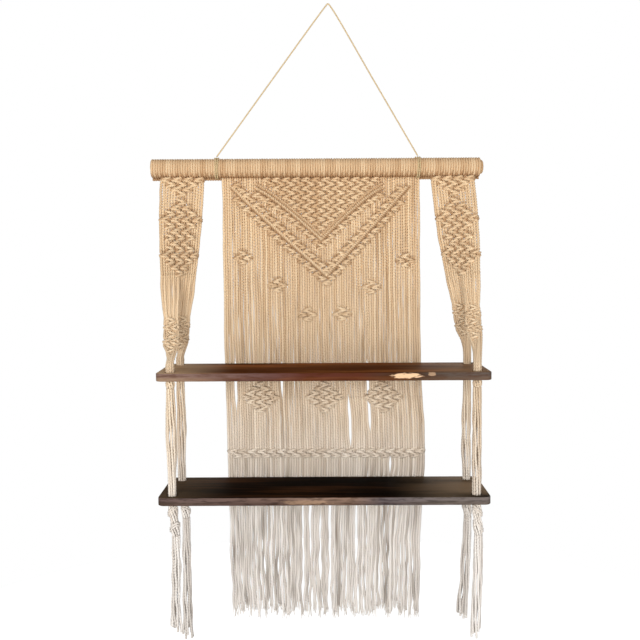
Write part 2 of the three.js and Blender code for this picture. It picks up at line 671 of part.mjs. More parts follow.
// A leg: four pairs of strands drawn together under a cluster of knots and led into a hole
function sideLeg(side, end) {
  const sign = side === "left" ? -1 : 1;
  const outer = end === "front" ? 1 : -1;
  const holeY = end === "front" ? HOLE_FRONT : HOLE_BACK;
  const startDrop = SIDE_NET_DROP + SEAT_GAP;
  const gatherDrop = SIDE_NET_DROP + CLUSTER_SPACINGS[side];
  const clusterDrop = gatherDrop + (CLUSTER_KNOTS * CLUSTER_DIAMETER) / 4;
  const neckTop = UPPER_BOARD_DROP - BUNDLE_DIAMETER;
  const neckBottom = UPPER_BOARD_DROP + BOARD_THICKNESS;
  const legMiddle = (sign * outer * SIDE_WIDTH) / 4;
  const places = sidePairPlaces().filter((s) => s * legMiddle > 0);
  const center = sidePlace(side, legMiddle, 0, clusterDrop);
  const tubes = places.map((s) => {
    const top = sidePlace(side, s, 0, startDrop - OVERRUN);
    const gathered = sidePlace(side, legMiddle + (s - legMiddle) * GATHER_SHARE, 0, gatherDrop);
    return tube([top, gathered], LEG_STRAND_SHARE * ROPE, 4, 1);
  });
  const above = new THREE.BoxGeometry(2 * SIDE_WIDTH, 2 * SIDE_WIDTH, startDrop);
  above.translate(center.x, center.y, -startDrop / 2);
  const beads = Array.from({ length: CLUSTER_KNOTS }, (_, i) => {
    const bead = new THREE.SphereGeometry(CLUSTER_DIAMETER / 2, 6, 4);
    bead.rotateX(Math.PI / 2);
    const fromMiddle = i - (CLUSTER_KNOTS - 1) / 2;
    bead.translate(center.x, center.y, center.z + (fromMiddle * CLUSTER_DIAMETER) / 2);
    return bead;
  });
  const hole = (drop) => new THREE.Vector3(sign * HOLE_X, holeY, -drop);
  const gatheredRope = tube([center, hole(neckTop + ROPE)], BUNDLE_DIAMETER, 8, 1);
  const neckLength = neckBottom - neckTop;
  const neck = new THREE.CylinderGeometry(BUNDLE_DIAMETER / 2, BUNDLE_DIAMETER / 2, neckLength, 8);
  neck.rotateX(Math.PI / 2);
  neck.translate(sign * HOLE_X, holeY, -(neckTop + neckBottom) / 2);
  const geometry = cut(joined([...tubes, ...beads, gatheredRope, neck]), [above]);
  addMesh(underDowel, `${side}_${end}_leg`, geometry, ROPE_FINISH);
}

function board(name, topDrop) {
  const bevel = BOARD_EDGE_ROUND;
  const x = BOARD_WIDTH / 2 - bevel;
  const back = BOARD_BACK - bevel;
  const front = BOARD_BACK - BOARD_DEPTH + bevel;
  const round = BOARD_CORNER - bevel;
  const outline = new THREE.Shape();
  outline.absarc(x - round, back - round, round, 0, Math.PI / 2);
  outline.absarc(-x + round, back - round, round, Math.PI / 2, Math.PI);
  outline.absarc(-x + round, front + round, round, Math.PI, 1.5 * Math.PI);
  outline.absarc(x - round, front + round, round, 1.5 * Math.PI, 2 * Math.PI);
  for (const holeX of [-HOLE_X, HOLE_X]) {
    for (const holeY of [HOLE_BACK, HOLE_FRONT]) {
      const hole = new THREE.Path();
      hole.absarc(holeX, holeY, HOLE_DIAMETER / 2 + bevel, 0, 2 * Math.PI, true);
      outline.holes.push(hole);
    }
  }
  const geometry = new THREE.ExtrudeGeometry(outline, {
    depth: BOARD_THICKNESS - 2 * bevel,
    curveSegments: 4,
    bevelSize: bevel,
    bevelThickness: bevel,
    bevelSegments: 1,
  });
  geometry.translate(0, 0, bevel - BOARD_THICKNESS - topDrop);
  addMesh(underDowel, name, geometry, BOARD_FINISH);
}

// Bulges one under another about the z axis, down from a drop, for a knot tied in a whole bundle
function bundleKnot(name, x, y, topDrop, height, count, neckHeight) {
  const profile = [[0, 0]];
  if (neckHeight > 0) {
    profile.push([BUNDLE_DIAMETER / 2, 0], [BUNDLE_DIAMETER / 2, -neckHeight]);
  }
  for (let i = 0; i < count; i++) {
    const turnShares = [
      [i === 0 ? KNOT_SEAT_SHARE : KNOT_WAIST_SHARE, 0],
      [1, KNOT_SWELL_SHARE],
      [1, 1 - KNOT_SWELL_SHARE],
    ];
    for (const [wideShare, downShare] of turnShares) {
      const drop = neckHeight + (height * (i + downShare)) / count;
      profile.push([(wideShare * BUNDLE_KNOT_DIAMETER) / 2, -drop]);
    }
  }
  profile.push([(KNOT_WAIST_SHARE * BUNDLE_KNOT_DIAMETER) / 2, -neckHeight - height]);
  profile.push([0, -neckHeight - height]);
  const geometry = turned(profile.reverse(), 10);
  geometry.translate(x, y, -topDrop);
  addMesh(underDowel, name, geometry, ROPE_FINISH);
}

// A bundle of eight strands between the boards, with a round end at each pivot
function bundle(name, x, y, topDrop, bottomDrop) {
  const radius = BUNDLE_DIAMETER / 2;
  const dome = [0, 1 / 3, 2 / 3, 1].map((share) => {
    const angle = (Math.PI / 2) * share;
    return [radius * Math.sin(angle), radius * (1 - Math.cos(angle))];
  });
  const profile = [
    ...dome.map(([r, z]) => [r, -bottomDrop + z]),
    ...[...dome].reverse().map(([r, z]) => [r, -topDrop - z]),
  ];
  const lobes = 8;
  const geometry = turned(profile, 2 * lobes);
  const place = geometry.attributes.position;
  for (let i = 0; i < place.count; i++) {
    const angle = Math.atan2(place.getY(i), place.getX(i));
    const lobeShare = 1 - BUNDLE_LOBE_SHARE * (1 - Math.cos(lobes * angle));
    place.setXY(i, lobeShare * place.getX(i), lobeShare * place.getY(i));
  }
  geometry.translate(x, y, 0);
  addMesh(underDowel, name, geometry, ROPE_FINISH);
}

// The loose strands under a lower knot, spreading a little on their way down
function tassel(name, x, y, topDrop, bottomDrop) {
  const collar = new THREE.CylinderGeometry(BUNDLE_DIAMETER / 2, BUNDLE_DIAMETER / 2, ROPE, 8);
  collar.rotateX(Math.PI / 2);
  collar.translate(x, y, -topDrop - ROPE / 2);
  const strands = Array.from({ length: TASSEL_STRANDS }, (_, i) => {
    const angle = (2 * Math.PI * (i + 0.5)) / TASSEL_STRANDS;
    const at = (reach, drop) =>
      new THREE.Vector3(x + reach * Math.cos(angle), y + reach * Math.sin(angle), -drop);
    const reach = BUNDLE_DIAMETER / 2 - TASSEL_STRAND / 2;
    const uneven = FRINGE_UNEVEN * Math.sin(i * i);
    const points = [
      at(reach, topDrop + ROPE / 2),
      at(reach + TASSEL_SPREAD / 2, (topDrop + bottomDrop) / 2),
      at(reach + TASSEL_SPREAD, bottomDrop + uneven - FRINGE_UNEVEN),
    ];
    return tube(points, TASSEL_STRAND, 4, 2);
  });
  addMesh(underDowel, name, joined([collar, ...strands]), ROPE_FINISH);
}

// Everything that hangs through one hole, from the upper board down
function hangingCorner(side, end) {
  const x = side === "left" ? -HOLE_X : HOLE_X;
  const y = end === "front" ? HOLE_FRONT : HOLE_BACK;
  const corner = `${side}_${end}`;
  const upperKnot = UPPER_BOARD_DROP + BOARD_THICKNESS + SEAT_GAP;
  const bundleTop = upperKnot + UPPER_KNOT_HEIGHT + SEAT_GAP;
  const bundleBottom = LOWER_BOARD_DROP + BUNDLE_DIAMETER / 2;
  const lowerNeck = bundleBottom + SEAT_GAP;
  const neckHeight = LOWER_BOARD_DROP + BOARD_THICKNESS + SEAT_GAP - lowerNeck;
  const lowerKnot = LOWER_KNOT_COUNT * LOWER_KNOT_HEIGHT;
  const tasselTop = lowerNeck + neckHeight + lowerKnot + SEAT_GAP;
  bundleKnot(`${corner}_upper_knot`, x, y, upperKnot, UPPER_KNOT_HEIGHT, 1, 0);
  bundle(`${corner}_rope`, x, y, bundleTop, bundleBottom);
  bundleKnot(`${corner}_lower_knot`, x, y, lowerNeck, lowerKnot, LOWER_KNOT_COUNT, neckHeight);
  tassel(`${corner}_tassel`, x, y, tasselTop, tasselTop + TASSEL_LENGTHS[corner]);
}

hangingCord();
cordTie("left_cord_tie", CORD_TIE_LEFT);
cordTie("right_cord_tie", CORD_TIE_RIGHT);
dowel();
hitchRows();

backdropNet();
chevron("inner_chevron", inner);
chevronBand();
chevron("outer_chevron", outer);
dropStrands();
for (const [place, hitch] of Object.entries(LARGE_DIAMOND_HITCHES)) {
  largeDiamond(`${place}_diamond`, hitch);
}
middleStrands();
knotBand();
fringe();

board("upper_board", UPPER_BOARD_DROP);
board("lower_board", LOWER_BOARD_DROP);
for (const side of ["left", "right"]) {
  sideNet(side);
  for (const end of ["front", "back"]) {
    sideLeg(side, end);
    hangingCorner(side, end);
  }
}

export default shelf;
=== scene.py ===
"""Looks of a hanging rope shelf: two varnished boards carried by knotted cotton rope under a
wrapped dowel, with a wide knotted backdrop behind them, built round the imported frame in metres."""

import math

import bmesh
import bpy
import numpy as np
from mathutils import Matrix, Vector, noise


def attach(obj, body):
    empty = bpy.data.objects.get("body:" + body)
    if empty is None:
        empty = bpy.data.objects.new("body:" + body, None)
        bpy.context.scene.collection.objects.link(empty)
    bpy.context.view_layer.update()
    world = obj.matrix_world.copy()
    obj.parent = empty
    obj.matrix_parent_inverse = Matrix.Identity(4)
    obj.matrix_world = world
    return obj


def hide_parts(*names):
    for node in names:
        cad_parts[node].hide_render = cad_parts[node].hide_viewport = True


bl_info = {
    "name": "Hanging Rope Shelf",
    "version": (1, 0, 0),
    "blender": (4, 5, 0),
    "location": "View3D > Sidebar > Rope Shelf",
    "description": "Makes a knotted rope shelf round its packed frame",
    "category": "Add Mesh",
}

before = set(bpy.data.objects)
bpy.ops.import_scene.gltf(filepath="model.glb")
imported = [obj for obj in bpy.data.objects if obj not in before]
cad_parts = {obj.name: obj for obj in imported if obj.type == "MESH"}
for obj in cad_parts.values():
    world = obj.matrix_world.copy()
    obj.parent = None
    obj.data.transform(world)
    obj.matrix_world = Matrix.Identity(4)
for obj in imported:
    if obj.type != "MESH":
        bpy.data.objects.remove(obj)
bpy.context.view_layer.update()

# Sizes in millimetres, the same as in the part's source. Places are x from the boards' middle,
# y towards the wall and the drop under the dowel's axis.
MM = 0.001
NAIL_OFFSET = 12
HANG_DROP = 315
STRAND_PITCH = 4.86
HITCH_PITCH = 2 * STRAND_PITCH
KNOT_ROW = 8.6
BACKDROP_PLANE = 4
BACKDROP_CENTER = -4
STRANDS = 80
HALVES = {"left": range(STRANDS // 2), "right": range(STRANDS // 2, STRANDS)}
FIRST_TIED = STRANDS // 2 - 2  # the first of the four strands that a knot at hitch 0 ties
TIED_HITCHES = range(-19, 20)
HITCHES = {"left": (-334.48, 14), "center": (-198.4, 40), "right": (190.4, 12)}
DOWEL_RADIUS = 14
DOWEL_ENDS = (-335, 313)
STRAND_TOP = 17.888
NET_TOP = 22.8
CHEVRON_STRETCHES = 6
RIDGE_PITCH = 13.5
# Each chevron's point, reach to the left and right, drop at its ends and point, and sag
INNER = (-4.0, 128, 121, 32.99, 134, 1.2)
OUTER = (5.72, 185, 162, 43.39, 218, 0.97)
# How far knots keep from the chevrons' lines: the net's over the inner one, those under and over
# the outer one, and the band's under the inner one
NET_GAP, UNDER_OUTER, OVER_OUTER, UNDER_INNER = 11.5, 7.2, 19.4, 19
# How far the backdrop's left and right edges lie from their strands' places, by drop
LEAN_DROPS = (18, 380, 436, 500, 557, 600, 683, 740, 850, 900)
LEAN_LEFT = (0, 2.4, 3.2, 4.0, 4.4, 5.0, 6.4, 7.4, 9.0, 9.6)
LEAN_RIGHT = (0, 3.2, 5.6, 10.5, 12.0, 11.5, 6.0, 2.0, 0.0, 0.0)
LARGE_DIAMONDS = {"left": -13, "middle": 0, "right": 12}
LARGE_DIAMOND_DROP = 453
LARGE_DIAMOND_REACH = 38.9
SMALL_DIAMONDS = ((-16, 175), (-9, 230), (-3, 288), (4, 287), (10, 234), (17, 182))
KNOT_BAND_DROP, KNOT_BAND_LEAD = 557, 4.9
FRINGE_TOP = 575.7
FRINGE_LENGTH = 323
SIGNS = {"left": -1, "right": 1}
SIDE_CENTERS = {"left": -274, "right": 252}
SIDE_PITCH = 5.3
SIDE_STRANDS = 16
SIDE_NET_DROP = 204
SIDE_KNOT_ROW = 11.5
SIDE_NET_START = 66.7
GATHER_DROPS = {"left": 298, "right": 276}
HOLE_X, HOLE_PLACES = 281, {"front": -135, "back": -25}
HOLE_DIAMETER = 20
UPPER_BOARD_DROP, LOWER_BOARD_DROP = 383.5, 612.5
BOARD_WIDTH, BOARD_DEPTH, BOARD_THICKNESS, BOARD_CORNER = 610, 150, 15, 12
BOARD_BACK = -5
KNOT_TOP, ROPE_TOP, ROPE_BOTTOM, TASSEL_TOP = 398.8, 413.1, 620.5, 688.1
BUNDLE_STRANDS, BUNDLE_RING = 8, 5.4
TIE_PLACES = {"left": -207, "right": 186}
CORD_POINTS = (
    (-207, 292.61), (-99.5, 148.3), (6, 8), (12, 1.5), (18, 8), (101, 148.3), (186, 292.61),
)

# How the ropes lie
RING_STEP, BUNDLE_STEP = 2.0, 4.0  # between two rings of a rope's mesh, and points of a bundle
PLIES, PLY_POINTS = 3, 3  # a rope's plies, and the points round each of them
RING_POINTS = PLIES * PLY_POINTS
CAP_ANGLE = math.radians(83)  # the plies are rounder than this, and a cut end isn't
HIDDEN_END, END_SIZE = 2.5, 0.9  # how far a rope goes on inside the next one, and how slim
LEAST_HANG = 3  # a strand hangs between two knots only where there is more room than this
KNOT_WIDE, KNOT_DEEP, KNOT_HALF = 6.9, 4.0, 4.3
SOFT_KNOTS, SOFT_SHADE = 225, 0.6  # knots under this drop get softer painted shade
SIDE_KNOT_WIDE = KNOT_WIDE * 1.1
KNOT_SLIM = 1.02  # a rope's size where a knot draws it tight

# How strands drift: the change from one to the next, its start, the drop for each change, the
# layer of the noise and how much more the end of the fringe drifts
CLUMP_WAVE = (0.19, 3, 95, 4.4, 2.6)
OWN_WAVE = (1.31, 9, 34, 8.2, 4.2)
DEPTH_SWAY, DEPTH_WAVE, STAGGER = 1.2, (1.77, 2, 52, 1.3, 1.3), 0.9
HELD_LENGTH, FREE_LENGTH = 6, 45  # a strand keeps its place this near a knot, then comes free

# Where the wall shows between the strands: place, top and bottom drop
SLITS = (
    (-176.9, 375, 478), (-88.5, 375, 456), (43.7, 448, 554), (82.3, 375, 526), (123.9, 566, 614),
    (-50, 650, 860), (-31, 640, 780), (-12, 690, 840), (8, 650, 900), (60, 660, 800),
)
SLIT_HALF, SLIT_TAPER, SLIT_REACH = 2.6, 22, 12


def there_and_back(*upper):
    """A way through a knot: its lower half mirrors the upper one, which ends in the middle."""
    return (*upper, *((across, inward, -down) for across, inward, down in upper[-2::-1]))


# One knot ties four strands. These are the ways of its left and right working strands and of the
# two fillers: across, towards the wall and down, as shares of its half width, depth and height.
LEFT_WORKER = there_and_back(
    (-1.02, 0, -1.0), (-0.85, -0.5, -0.85), (-0.35, -1, -0.62), (0.3, -1.05, -0.4),
    (0.85, -0.6, -0.28), (1.3, 0.35, 0),
)
RIGHT_WORKER = there_and_back(
    (1.02, 0, -1.0), (0.9, 0.5, -0.8), (0.2, 1, -0.6), (-0.5, 0.9, -0.55), (-1.3, 0.5, -0.42),
    (-1.0, -0.5, -0.2), (-0.85, -0.8, 0),
)
LEFT_FILLER = there_and_back((-0.36, 0.1, -0.9), (-0.28, 0.15, 0))
RIGHT_FILLER = there_and_back((0.36, 0.1, -0.9), (0.28, 0.15, 0))
KNOT_WAYS = (LEFT_WORKER, LEFT_FILLER, RIGHT_FILLER, RIGHT_WORKER)

# The chevrons' ridges: how far they stand forward and the steps of their hidden cord, and the
# winding's middle radius, rope, turn and slant. The shades are painted shade round the winding
# from its front, most at its upper and lower edges.
RIDGE_FORWARD, RIDGE_STEP = 2.4, 2.4
RIDGE_RADIUS, RIDGE_ROPE, RIDGE_TURN, RIDGE_SLANT = 2.7, 4.2, 4.2, 1.4
RIDGE_SHADES = (0, 0.1, 0.7, 0.9, 0.35, 0.9, 0.7, 0.1)
CORE_TONE, RIDGE_LIT_TONE = 0.6, -0.4  # the hidden cord's, and one lighter than any strand's, painted light on the ridge


def colour_prop(name, description, *rgb):
    return bpy.props.FloatVectorProperty(
        name=name, description=description, default=[c / 255 for c in rgb],
        subtype="COLOR_GAMMA", size=3, min=0, max=1,
    )


def size_prop(name, description, millimetres):
    return bpy.props.FloatProperty(
        name=name, description=description, default=millimetres * MM, unit="LENGTH", min=0,
    )


class RopeSettings(bpy.types.PropertyGroup):
    """Sizes and colours of the cotton rope."""

    diameter: size_prop("Rope diameter", "Thickness of one hanging rope", 5.5)
    lay: size_prop("Lay", "Length of one turn of the plies", 17)
    wander: size_prop("Wander", "How far a loose rope drifts from its place", 0.8)
    clump: size_prop("Clump", "How far neighbouring ropes drift together", 1.7)
    # The colours from the dowel down to the fringe are partly the rope's own and partly painted
    # light: warmer at the top, paler and cooler towards the fringe.
    top_colour: colour_prop("Top", "Rope at the dowel", 250, 223, 184)
    middle_colour: colour_prop("Middle", "Rope behind the boards", 246, 225, 194)
    low_colour: colour_prop("Low", "Rope between the boards", 250, 236, 216)
    fringe_colour: colour_prop("Fringe", "Rope of the fringe and tassels", 250, 246, 241)
    cord_colour: colour_prop("Hanging cord", "Thin cord over the nail", 224, 196, 150)


class BoardSettings(bpy.types.PropertyGroup):
    """Sizes and colours of the dowel and the boards."""

    edge_round: size_prop("Edge round", "Rounding of the boards' edges", 1.6)
    edge_rough: size_prop("Edge roughness", "How uneven the sawn edges are", 0.7)
    upper_stain: colour_prop("Upper stain", "Stained wood of the upper board", 72, 36, 12)
    upper_streak: colour_prop("Upper streak", "Lighter grain of the upper board", 150, 92, 48)
    lower_stain: colour_prop("Lower stain", "Stained wood of the lower board", 9, 4, 2)
    lower_streak: colour_prop("Lower streak", "Lighter grain of the lower board", 74, 46, 26)
    # Painted reflection: the paler, greyer colour of the boards' ends stands for the white surround
    # in the varnish.
    reflected_ends: colour_prop("Reflected ends", "Painted reflection of the white surround", 190, 162, 130)
    bare: colour_prop("Bare wood", "Knot or patch without stain", 236, 194, 154)
    dowel: colour_prop("Dowel", "Bare wood of the dowel", 206, 170, 124)


# ------------------------------------------------------------------ shader maths


def linear(colour):
    """A picture colour as the linear one that a shader takes."""
    return [c / 12.92 if c <= 0.04045 else ((c + 0.055) / 1.055) ** 2.4 for c in colour]


class Wire:
    """A number or colour on its way through a node tree, with arithmetic for numbers."""

    def __init__(self, nodes, socket):
        self.nodes, self.socket = nodes, socket

    def _maths(self, operation, *values):
        return self.nodes.node("ShaderNodeMath", {"operation": operation}, enumerate(values))

    def __add__(self, other):
        return self._maths("ADD", self, other)

    def __sub__(self, other):
        return self._maths("SUBTRACT", self, other)

    def __rsub__(self, other):
        return self._maths("SUBTRACT", other, self)

    def __mul__(self, other):
        return self._maths("MULTIPLY", self, other)

    __radd__, __rmul__ = __add__, __mul__

    def larger(self, other):
        return self._maths("MAXIMUM", self, other)

    def cosine(self):
        return self._maths("COSINE", self)

    def ramp(self, low, high):
        """0 at low, 1 at high and smooth between them."""
        settings = {"interpolation_type": "SMOOTHSTEP"}
        sockets = {"Value": self, "From Min": low, "From Max": high}
        return self.nodes.node("ShaderNodeMapRange", settings, sockets)


class Nodes:
    """The nodes of a material or of the world."""

    def __init__(self, tree):
        self.tree = tree

    def plug(self, socket, value):
        if isinstance(value, Wire):
            self.tree.links.new(value.socket, socket)
        else:
            socket.default_value = value

    def node(self, kind, settings=None, sockets=(), out=0):
        made = self.tree.nodes.new(kind)
        for key, value in (settings or {}).items():
            if key == "stops":
                stops = made.color_ramp.elements
                while len(stops) < len(value):
                    stops.new(1)
                for stop, (place, colour) in zip(stops, value):
                    stop.position, stop.color = place, (*linear(colour), 1)
            else:
                setattr(made, key, value)
        for key, value in dict(sockets).items():
            self.plug(made.inputs[key], value)
        return Wire(self, made.outputs[out])

    def seen_directly(self):
        """1 for what the camera sees itself, in a mirror or through glass, and else 0."""
        outputs = self.node("ShaderNodeLightPath").socket.node.outputs
        camera, mirror, glass = (
            Wire(self, outputs[f"Is {kind} Ray"]) for kind in ("Camera", "Glossy", "Transmission")
        )
        return camera.larger(mirror).larger(glass)


class Finish(Nodes):
    """One material. Its nodes end in the one shader that it starts with."""

    def __init__(self, name, **constants):
        self.material = bpy.data.materials.new(name)
        self.material.use_nodes = True
        super().__init__(self.material.node_tree)
        self.shader = self.tree.nodes["Principled BSDF"]
        self.finish_with(**constants)

    def mix(self, factor, first, second, mode="MIX"):
        """Two colours mixed. A colour is a wire or three picture values."""
        settings = {"data_type": "RGBA", "blend_type": mode}
        values = [v if isinstance(v, Wire) else (*linear(v), 1) for v in (first, second)]
        return self.node("ShaderNodeMix", settings, {0: factor, 6: values[0], 7: values[1]}, 2)

    def band(self, share, stops):
        """Colours that follow a share from 0 to 1, from stops of a place and a colour."""
        return self.node("ShaderNodeValToRGB", {"stops": stops}, {"Fac": share})

    def split(self, found, count):
        return [self.node("ShaderNodeSeparateXYZ", None, {0: found}, k) for k in range(count)]

    def place(self):
        """Where a point lies on the object at rest, as x, y and z."""
        return self.split(self.node("ShaderNodeTexCoord", out="Object"), 3)

    def along(self):
        """How far along its rope a point lies, in metres, and how far round it, from 0 to 1."""
        return self.split(self.node("ShaderNodeUVMap", {"uv_map": "UVMap"}), 2)

    def attribute(self, name):
        return self.node("ShaderNodeAttribute", {"attribute_name": name}, out="Fac")

    def grooves(self, round_it):
        """1 between a rope's plies and 0 on their backs."""
        return 0.5 + 0.5 * (round_it * (2 * PLIES * math.pi)).cosine()

    def grain(self, x, y, z, detail=2.0, rough=0.5):
        """A smooth random value from 0 to 1 that changes by one feature for each unit."""
        point = self.node("ShaderNodeCombineXYZ", None, {0: x, 1: y, 2: z})
        sockets = {"Vector": point, "Scale": 1.0, "Detail": detail, "Roughness": rough}
        return self.node("ShaderNodeTexNoise", None, sockets)

    def bump(self, height, millimetres, strength):
        sockets = {"Height": height, "Distance": millimetres * MM, "Strength": strength}
        return self.node("ShaderNodeBump", None, sockets)

    def finish_with(self, **values):
        for socket, value in values.items():
            self.plug(self.shader.inputs[socket.replace("_", " ")], value)
        return self.material


def rope_finish():
    """Cotton rope: tan under the dowel and paler towards the fringe, partly as painted light, each
    rope its own tone, with painted shade between its plies and in its knots.
    """
    rope = bpy.context.scene.rope_settings
    made = Finish("cotton_rope", Roughness=0.92, Specular_IOR_Level=0.2)
    x, y, z = made.place()
    along, round_it = made.along()
    tone = made.attribute("tone")
    cloud = made.grain(x * 14, y * 14, z * 9, detail=3)
    # Colour by height, partly the rope's own and partly painted light: warmer at the top, paler and
    # cooler towards the fringe. The darkening colours below turn cooler with it.
    height = (z + 0.08 * (cloud - 0.5)).ramp(-1.25, -0.3)
    colours = made.band(height, (
        (0.0, rope.fringe_colour), (0.16, rope.fringe_colour), (0.42, rope.low_colour),
        (0.66, rope.middle_colour), (1.0, rope.top_colour),
    ))
    fibre = made.grain(along * 160, round_it * 26, tone * 90)
    dim = made.mix(height, (0.80, 0.78, 0.76), (0.82, 0.73, 0.63))
    darker = made.mix(0.55 * tone + 0.1 * cloud, colours, dim, "MULTIPLY")
    # Painted shade in the grooves between the plies.
    painted_groove_shade = 0.22 * made.grooves(round_it).ramp(0.6, 1.0)
    groove_shaded = made.mix(painted_groove_shade, darker, (0.72, 0.58, 0.44), "MULTIPLY")
    fibrous = made.mix(0.3 * fibre.ramp(0.35, 0.75), groove_shaded, (0.88, 0.83, 0.77), "MULTIPLY")
    # Painted shade from the shade attribute, in knots, under ridges and on recessed strands, turning
    # cooler towards the fringe.
    deep = made.mix(height, (0.60, 0.57, 0.54), (0.68, 0.56, 0.44))
    colour = made.mix(0.95 * made.attribute("shade"), fibrous, deep, "MULTIPLY")
    return made.finish_with(Base_Color=colour, Normal=made.bump(fibre, 0.25, 0.7))


def cotton():
    """The ropes' material, which several operators share."""
    return bpy.data.materials.get("cotton_rope") or rope_finish()


def cord_finish():
    """Thin twisted cord, more olive than the ropes."""
    rope = bpy.context.scene.rope_settings
    made = Finish("twisted_cord", Roughness=0.85, Specular_IOR_Level=0.25)
    along, round_it = made.along()
    fibre = made.grain(along * 220, round_it * 20, along * 30)
    base = made.mix(0.5 * fibre.ramp(0.3, 0.7), rope.cord_colour, (0.90, 0.84, 0.68))
    # Painted shade in the grooves between the plies.
    painted_groove_shade = 0.4 * made.grooves(round_it).ramp(0.5, 1.0)
    colour = made.mix(painted_groove_shade, base, (0.70, 0.60, 0.44), "MULTIPLY")
    return made.finish_with(Base_Color=colour, Normal=made.bump(fibre, 0.2, 0.6))


def dowel_finish():
    """Smooth pale wood with its grain along the dowel."""
    made = Finish("dowel_wood", Roughness=0.55, Coat_Weight=0.1)
    x, y, z = made.place()
    grain = made.grain(x * 9, y * 320, z * 320, detail=3)
    bare = bpy.context.scene.board_settings.dowel
    colour = made.mix(grain.ramp(0.35, 0.7), bare, (0.70, 0.54, 0.37))
    return made.finish_with(Base_Color=colour, Normal=made.bump(grain, 0.15, 0.5))


def board_finish(name, top_drop, stain, streak, reflection_strengths, patches, edge_wear_and_reflection):
    """Dark stain over wood with bare patches, painted reflection of the white surround at its ends,
    and rounded edges partly worn and partly painted reflection, lighter towards their top as
    painted light. Each patch is x, y and depth under the top, its three half widths in millimetres
    and its strength."""
    board = bpy.context.scene.board_settings
    made = Finish(name, Specular_IOR_Level=0.004)
    x, y, z = made.place()
    wave = made.grain(x * 5, y * 24, z * 24)
    grain = made.grain(x * 6, y * 190 + wave * 5, z * 190, detail=4, rough=0.6)
    broad = made.grain(x * 3.2, y * 16, z * 10)
    streaks = (0.6 * grain + 0.55 * broad).ramp(0.5, 0.76)
    colour = made.mix(0.85 * streaks, stain, streak)
    # Painted reflection: the ends, where the white surround would show in the varnish, turn paler
    # and greyer in patches.
    end_reflection = reflection_strengths[0] * (1 - x.ramp(-0.33, -0.17)) + reflection_strengths[1] * x.ramp(0.1, 0.28)
    colour = made.mix(end_reflection * broad.ramp(0.15, 0.5), colour, board.reflected_ends)
    top = -(HANG_DROP + top_drop) * MM
    # The rounded edges: real wear where the chips show, painted reflection in their colours from
    # left to right, and painted light making them lighter towards the top.
    on_edge = made.attribute("edge").ramp(0.1, 0.5)
    high = z.ramp(top - 11 * MM, top - 5 * MM)
    chips = made.grain(x * 34, z * 260, y * 60, detail=4, rough=0.65)
    edge = made.band(x.ramp(-0.317, 0.293), edge_wear_and_reflection)
    worn_and_reflected = made.mix(0.45 + 0.55 * chips.ramp(0.36, 0.56), stain, edge)
    colour = made.mix(on_edge * (0.6 + 0.4 * high), colour, worn_and_reflected)
    torn = made.grain(x * 110, z * 420, y * 200, detail=3)
    for px, py, pz, wide, deep, tall, strength in patches:
        across = (x - (px - NAIL_OFFSET) * MM) * (1 / (wide * MM))
        inward = (y - py * MM) * (1 / (deep * MM))
        upward = (z - (top - pz * MM)) * (1 / (tall * MM))
        spread = across * across + inward * inward + upward * upward
        ragged = spread + 1.6 * (wave - 0.5) + 2.4 * (torn - 0.5)
        colour = made.mix(strength * (1 - ragged.ramp(0.5, 1.1)), colour, board.bare)
    rough = 0.5 + 0.2 * grain + 0.2 * on_edge
    uneven = made.bump(grain + 0.6 * chips * on_edge, 0.35, 0.35)
    return made.finish_with(Base_Color=colour, Roughness=rough, Normal=uneven)


# ------------------------------------------------------------------ laying ropes


def evenly(start, end, count):
    """Numbers from start to end in a count of even steps."""
    return [start + (end - start) * k / count for k in range(count + 1)]


def distances(points):
    """How far along a line each of its points lies."""
    return np.concatenate([[0], np.cumsum(np.linalg.norm(np.diff(points, axis=0), axis=1))])


def drift(a, b, c):
    """A smooth random value from about -1 to 1 that is the same in each run."""
    return noise.noise(Vector((a, b, c)))


def sway(amount, wave, number, drop, fall=0.0):
    """How far a strand drifts at a drop, up to about the amount."""
    change, start, length, layer, growth = wave
    return amount * drift(change * number + start, drop / length, layer) * (1 + growth * fall)


def to_frame(points):
    """Places in millimetres, with the drop under the dowel, as metres in the frame."""
    x, y, drop = np.asarray(points, float).T[:3]
    return np.column_stack([(x - NAIL_OFFSET) * MM, y * MM, -(HANG_DROP + drop) * MM])


def smooth_line(points, step):
    """An even line through points of x, y, drop and other values, without corners: a centripetal
    Catmull-Rom curve, with a point every step."""
    known = np.asarray(points, float)
    known = np.vstack([2 * known[0] - known[1], known, 2 * known[-1] - known[-2]])
    gaps = np.maximum(np.linalg.norm(np.diff(known[:, :3], axis=0), axis=1), 1e-6)
    knots = np.concatenate([[0], np.cumsum(np.sqrt(gaps))])
    fine = []
    for i in range(1, len(known) - 2):
        at, rows = knots[i - 1 : i + 3], list(known[i - 1 : i + 3])
        count = max(2, math.ceil(2 * gaps[i] / step))
        t = np.linspace(at[1], at[2], count, endpoint=False)[:, None]
        for pairs in (((0, 1), (1, 2), (2, 3)), ((0, 2), (1, 3)), ((1, 2),)):
            rows = [
                ((at[b] - t) * rows[k] + (t - at[a]) * rows[k + 1]) / (at[b] - at[a])
                for k, (a, b) in enumerate(pairs)
            ]
        fine.append(rows[0])
    fine = np.vstack([*fine, known[-2:-1]])
    lengths = distances(fine[:, :3])
    even = np.linspace(0, lengths[-1], max(2, round(lengths[-1] / step) + 1))
    return np.column_stack([np.interp(even, lengths, column) for column in fine.T])


def new_object(name, data):
    made = bpy.data.objects.new(name, data)
    bpy.context.scene.collection.objects.link(made)
    return made


def bevel(made, edges, offset, segments):
    bmesh.ops.bevel(
        made, geom=edges, offset=offset, segments=segments, profile=0.5, affect="EDGES",
        material=-1,
    )


def rise(edge):
    return abs(edge.verts[0].co.z - edge.verts[1].co.z)


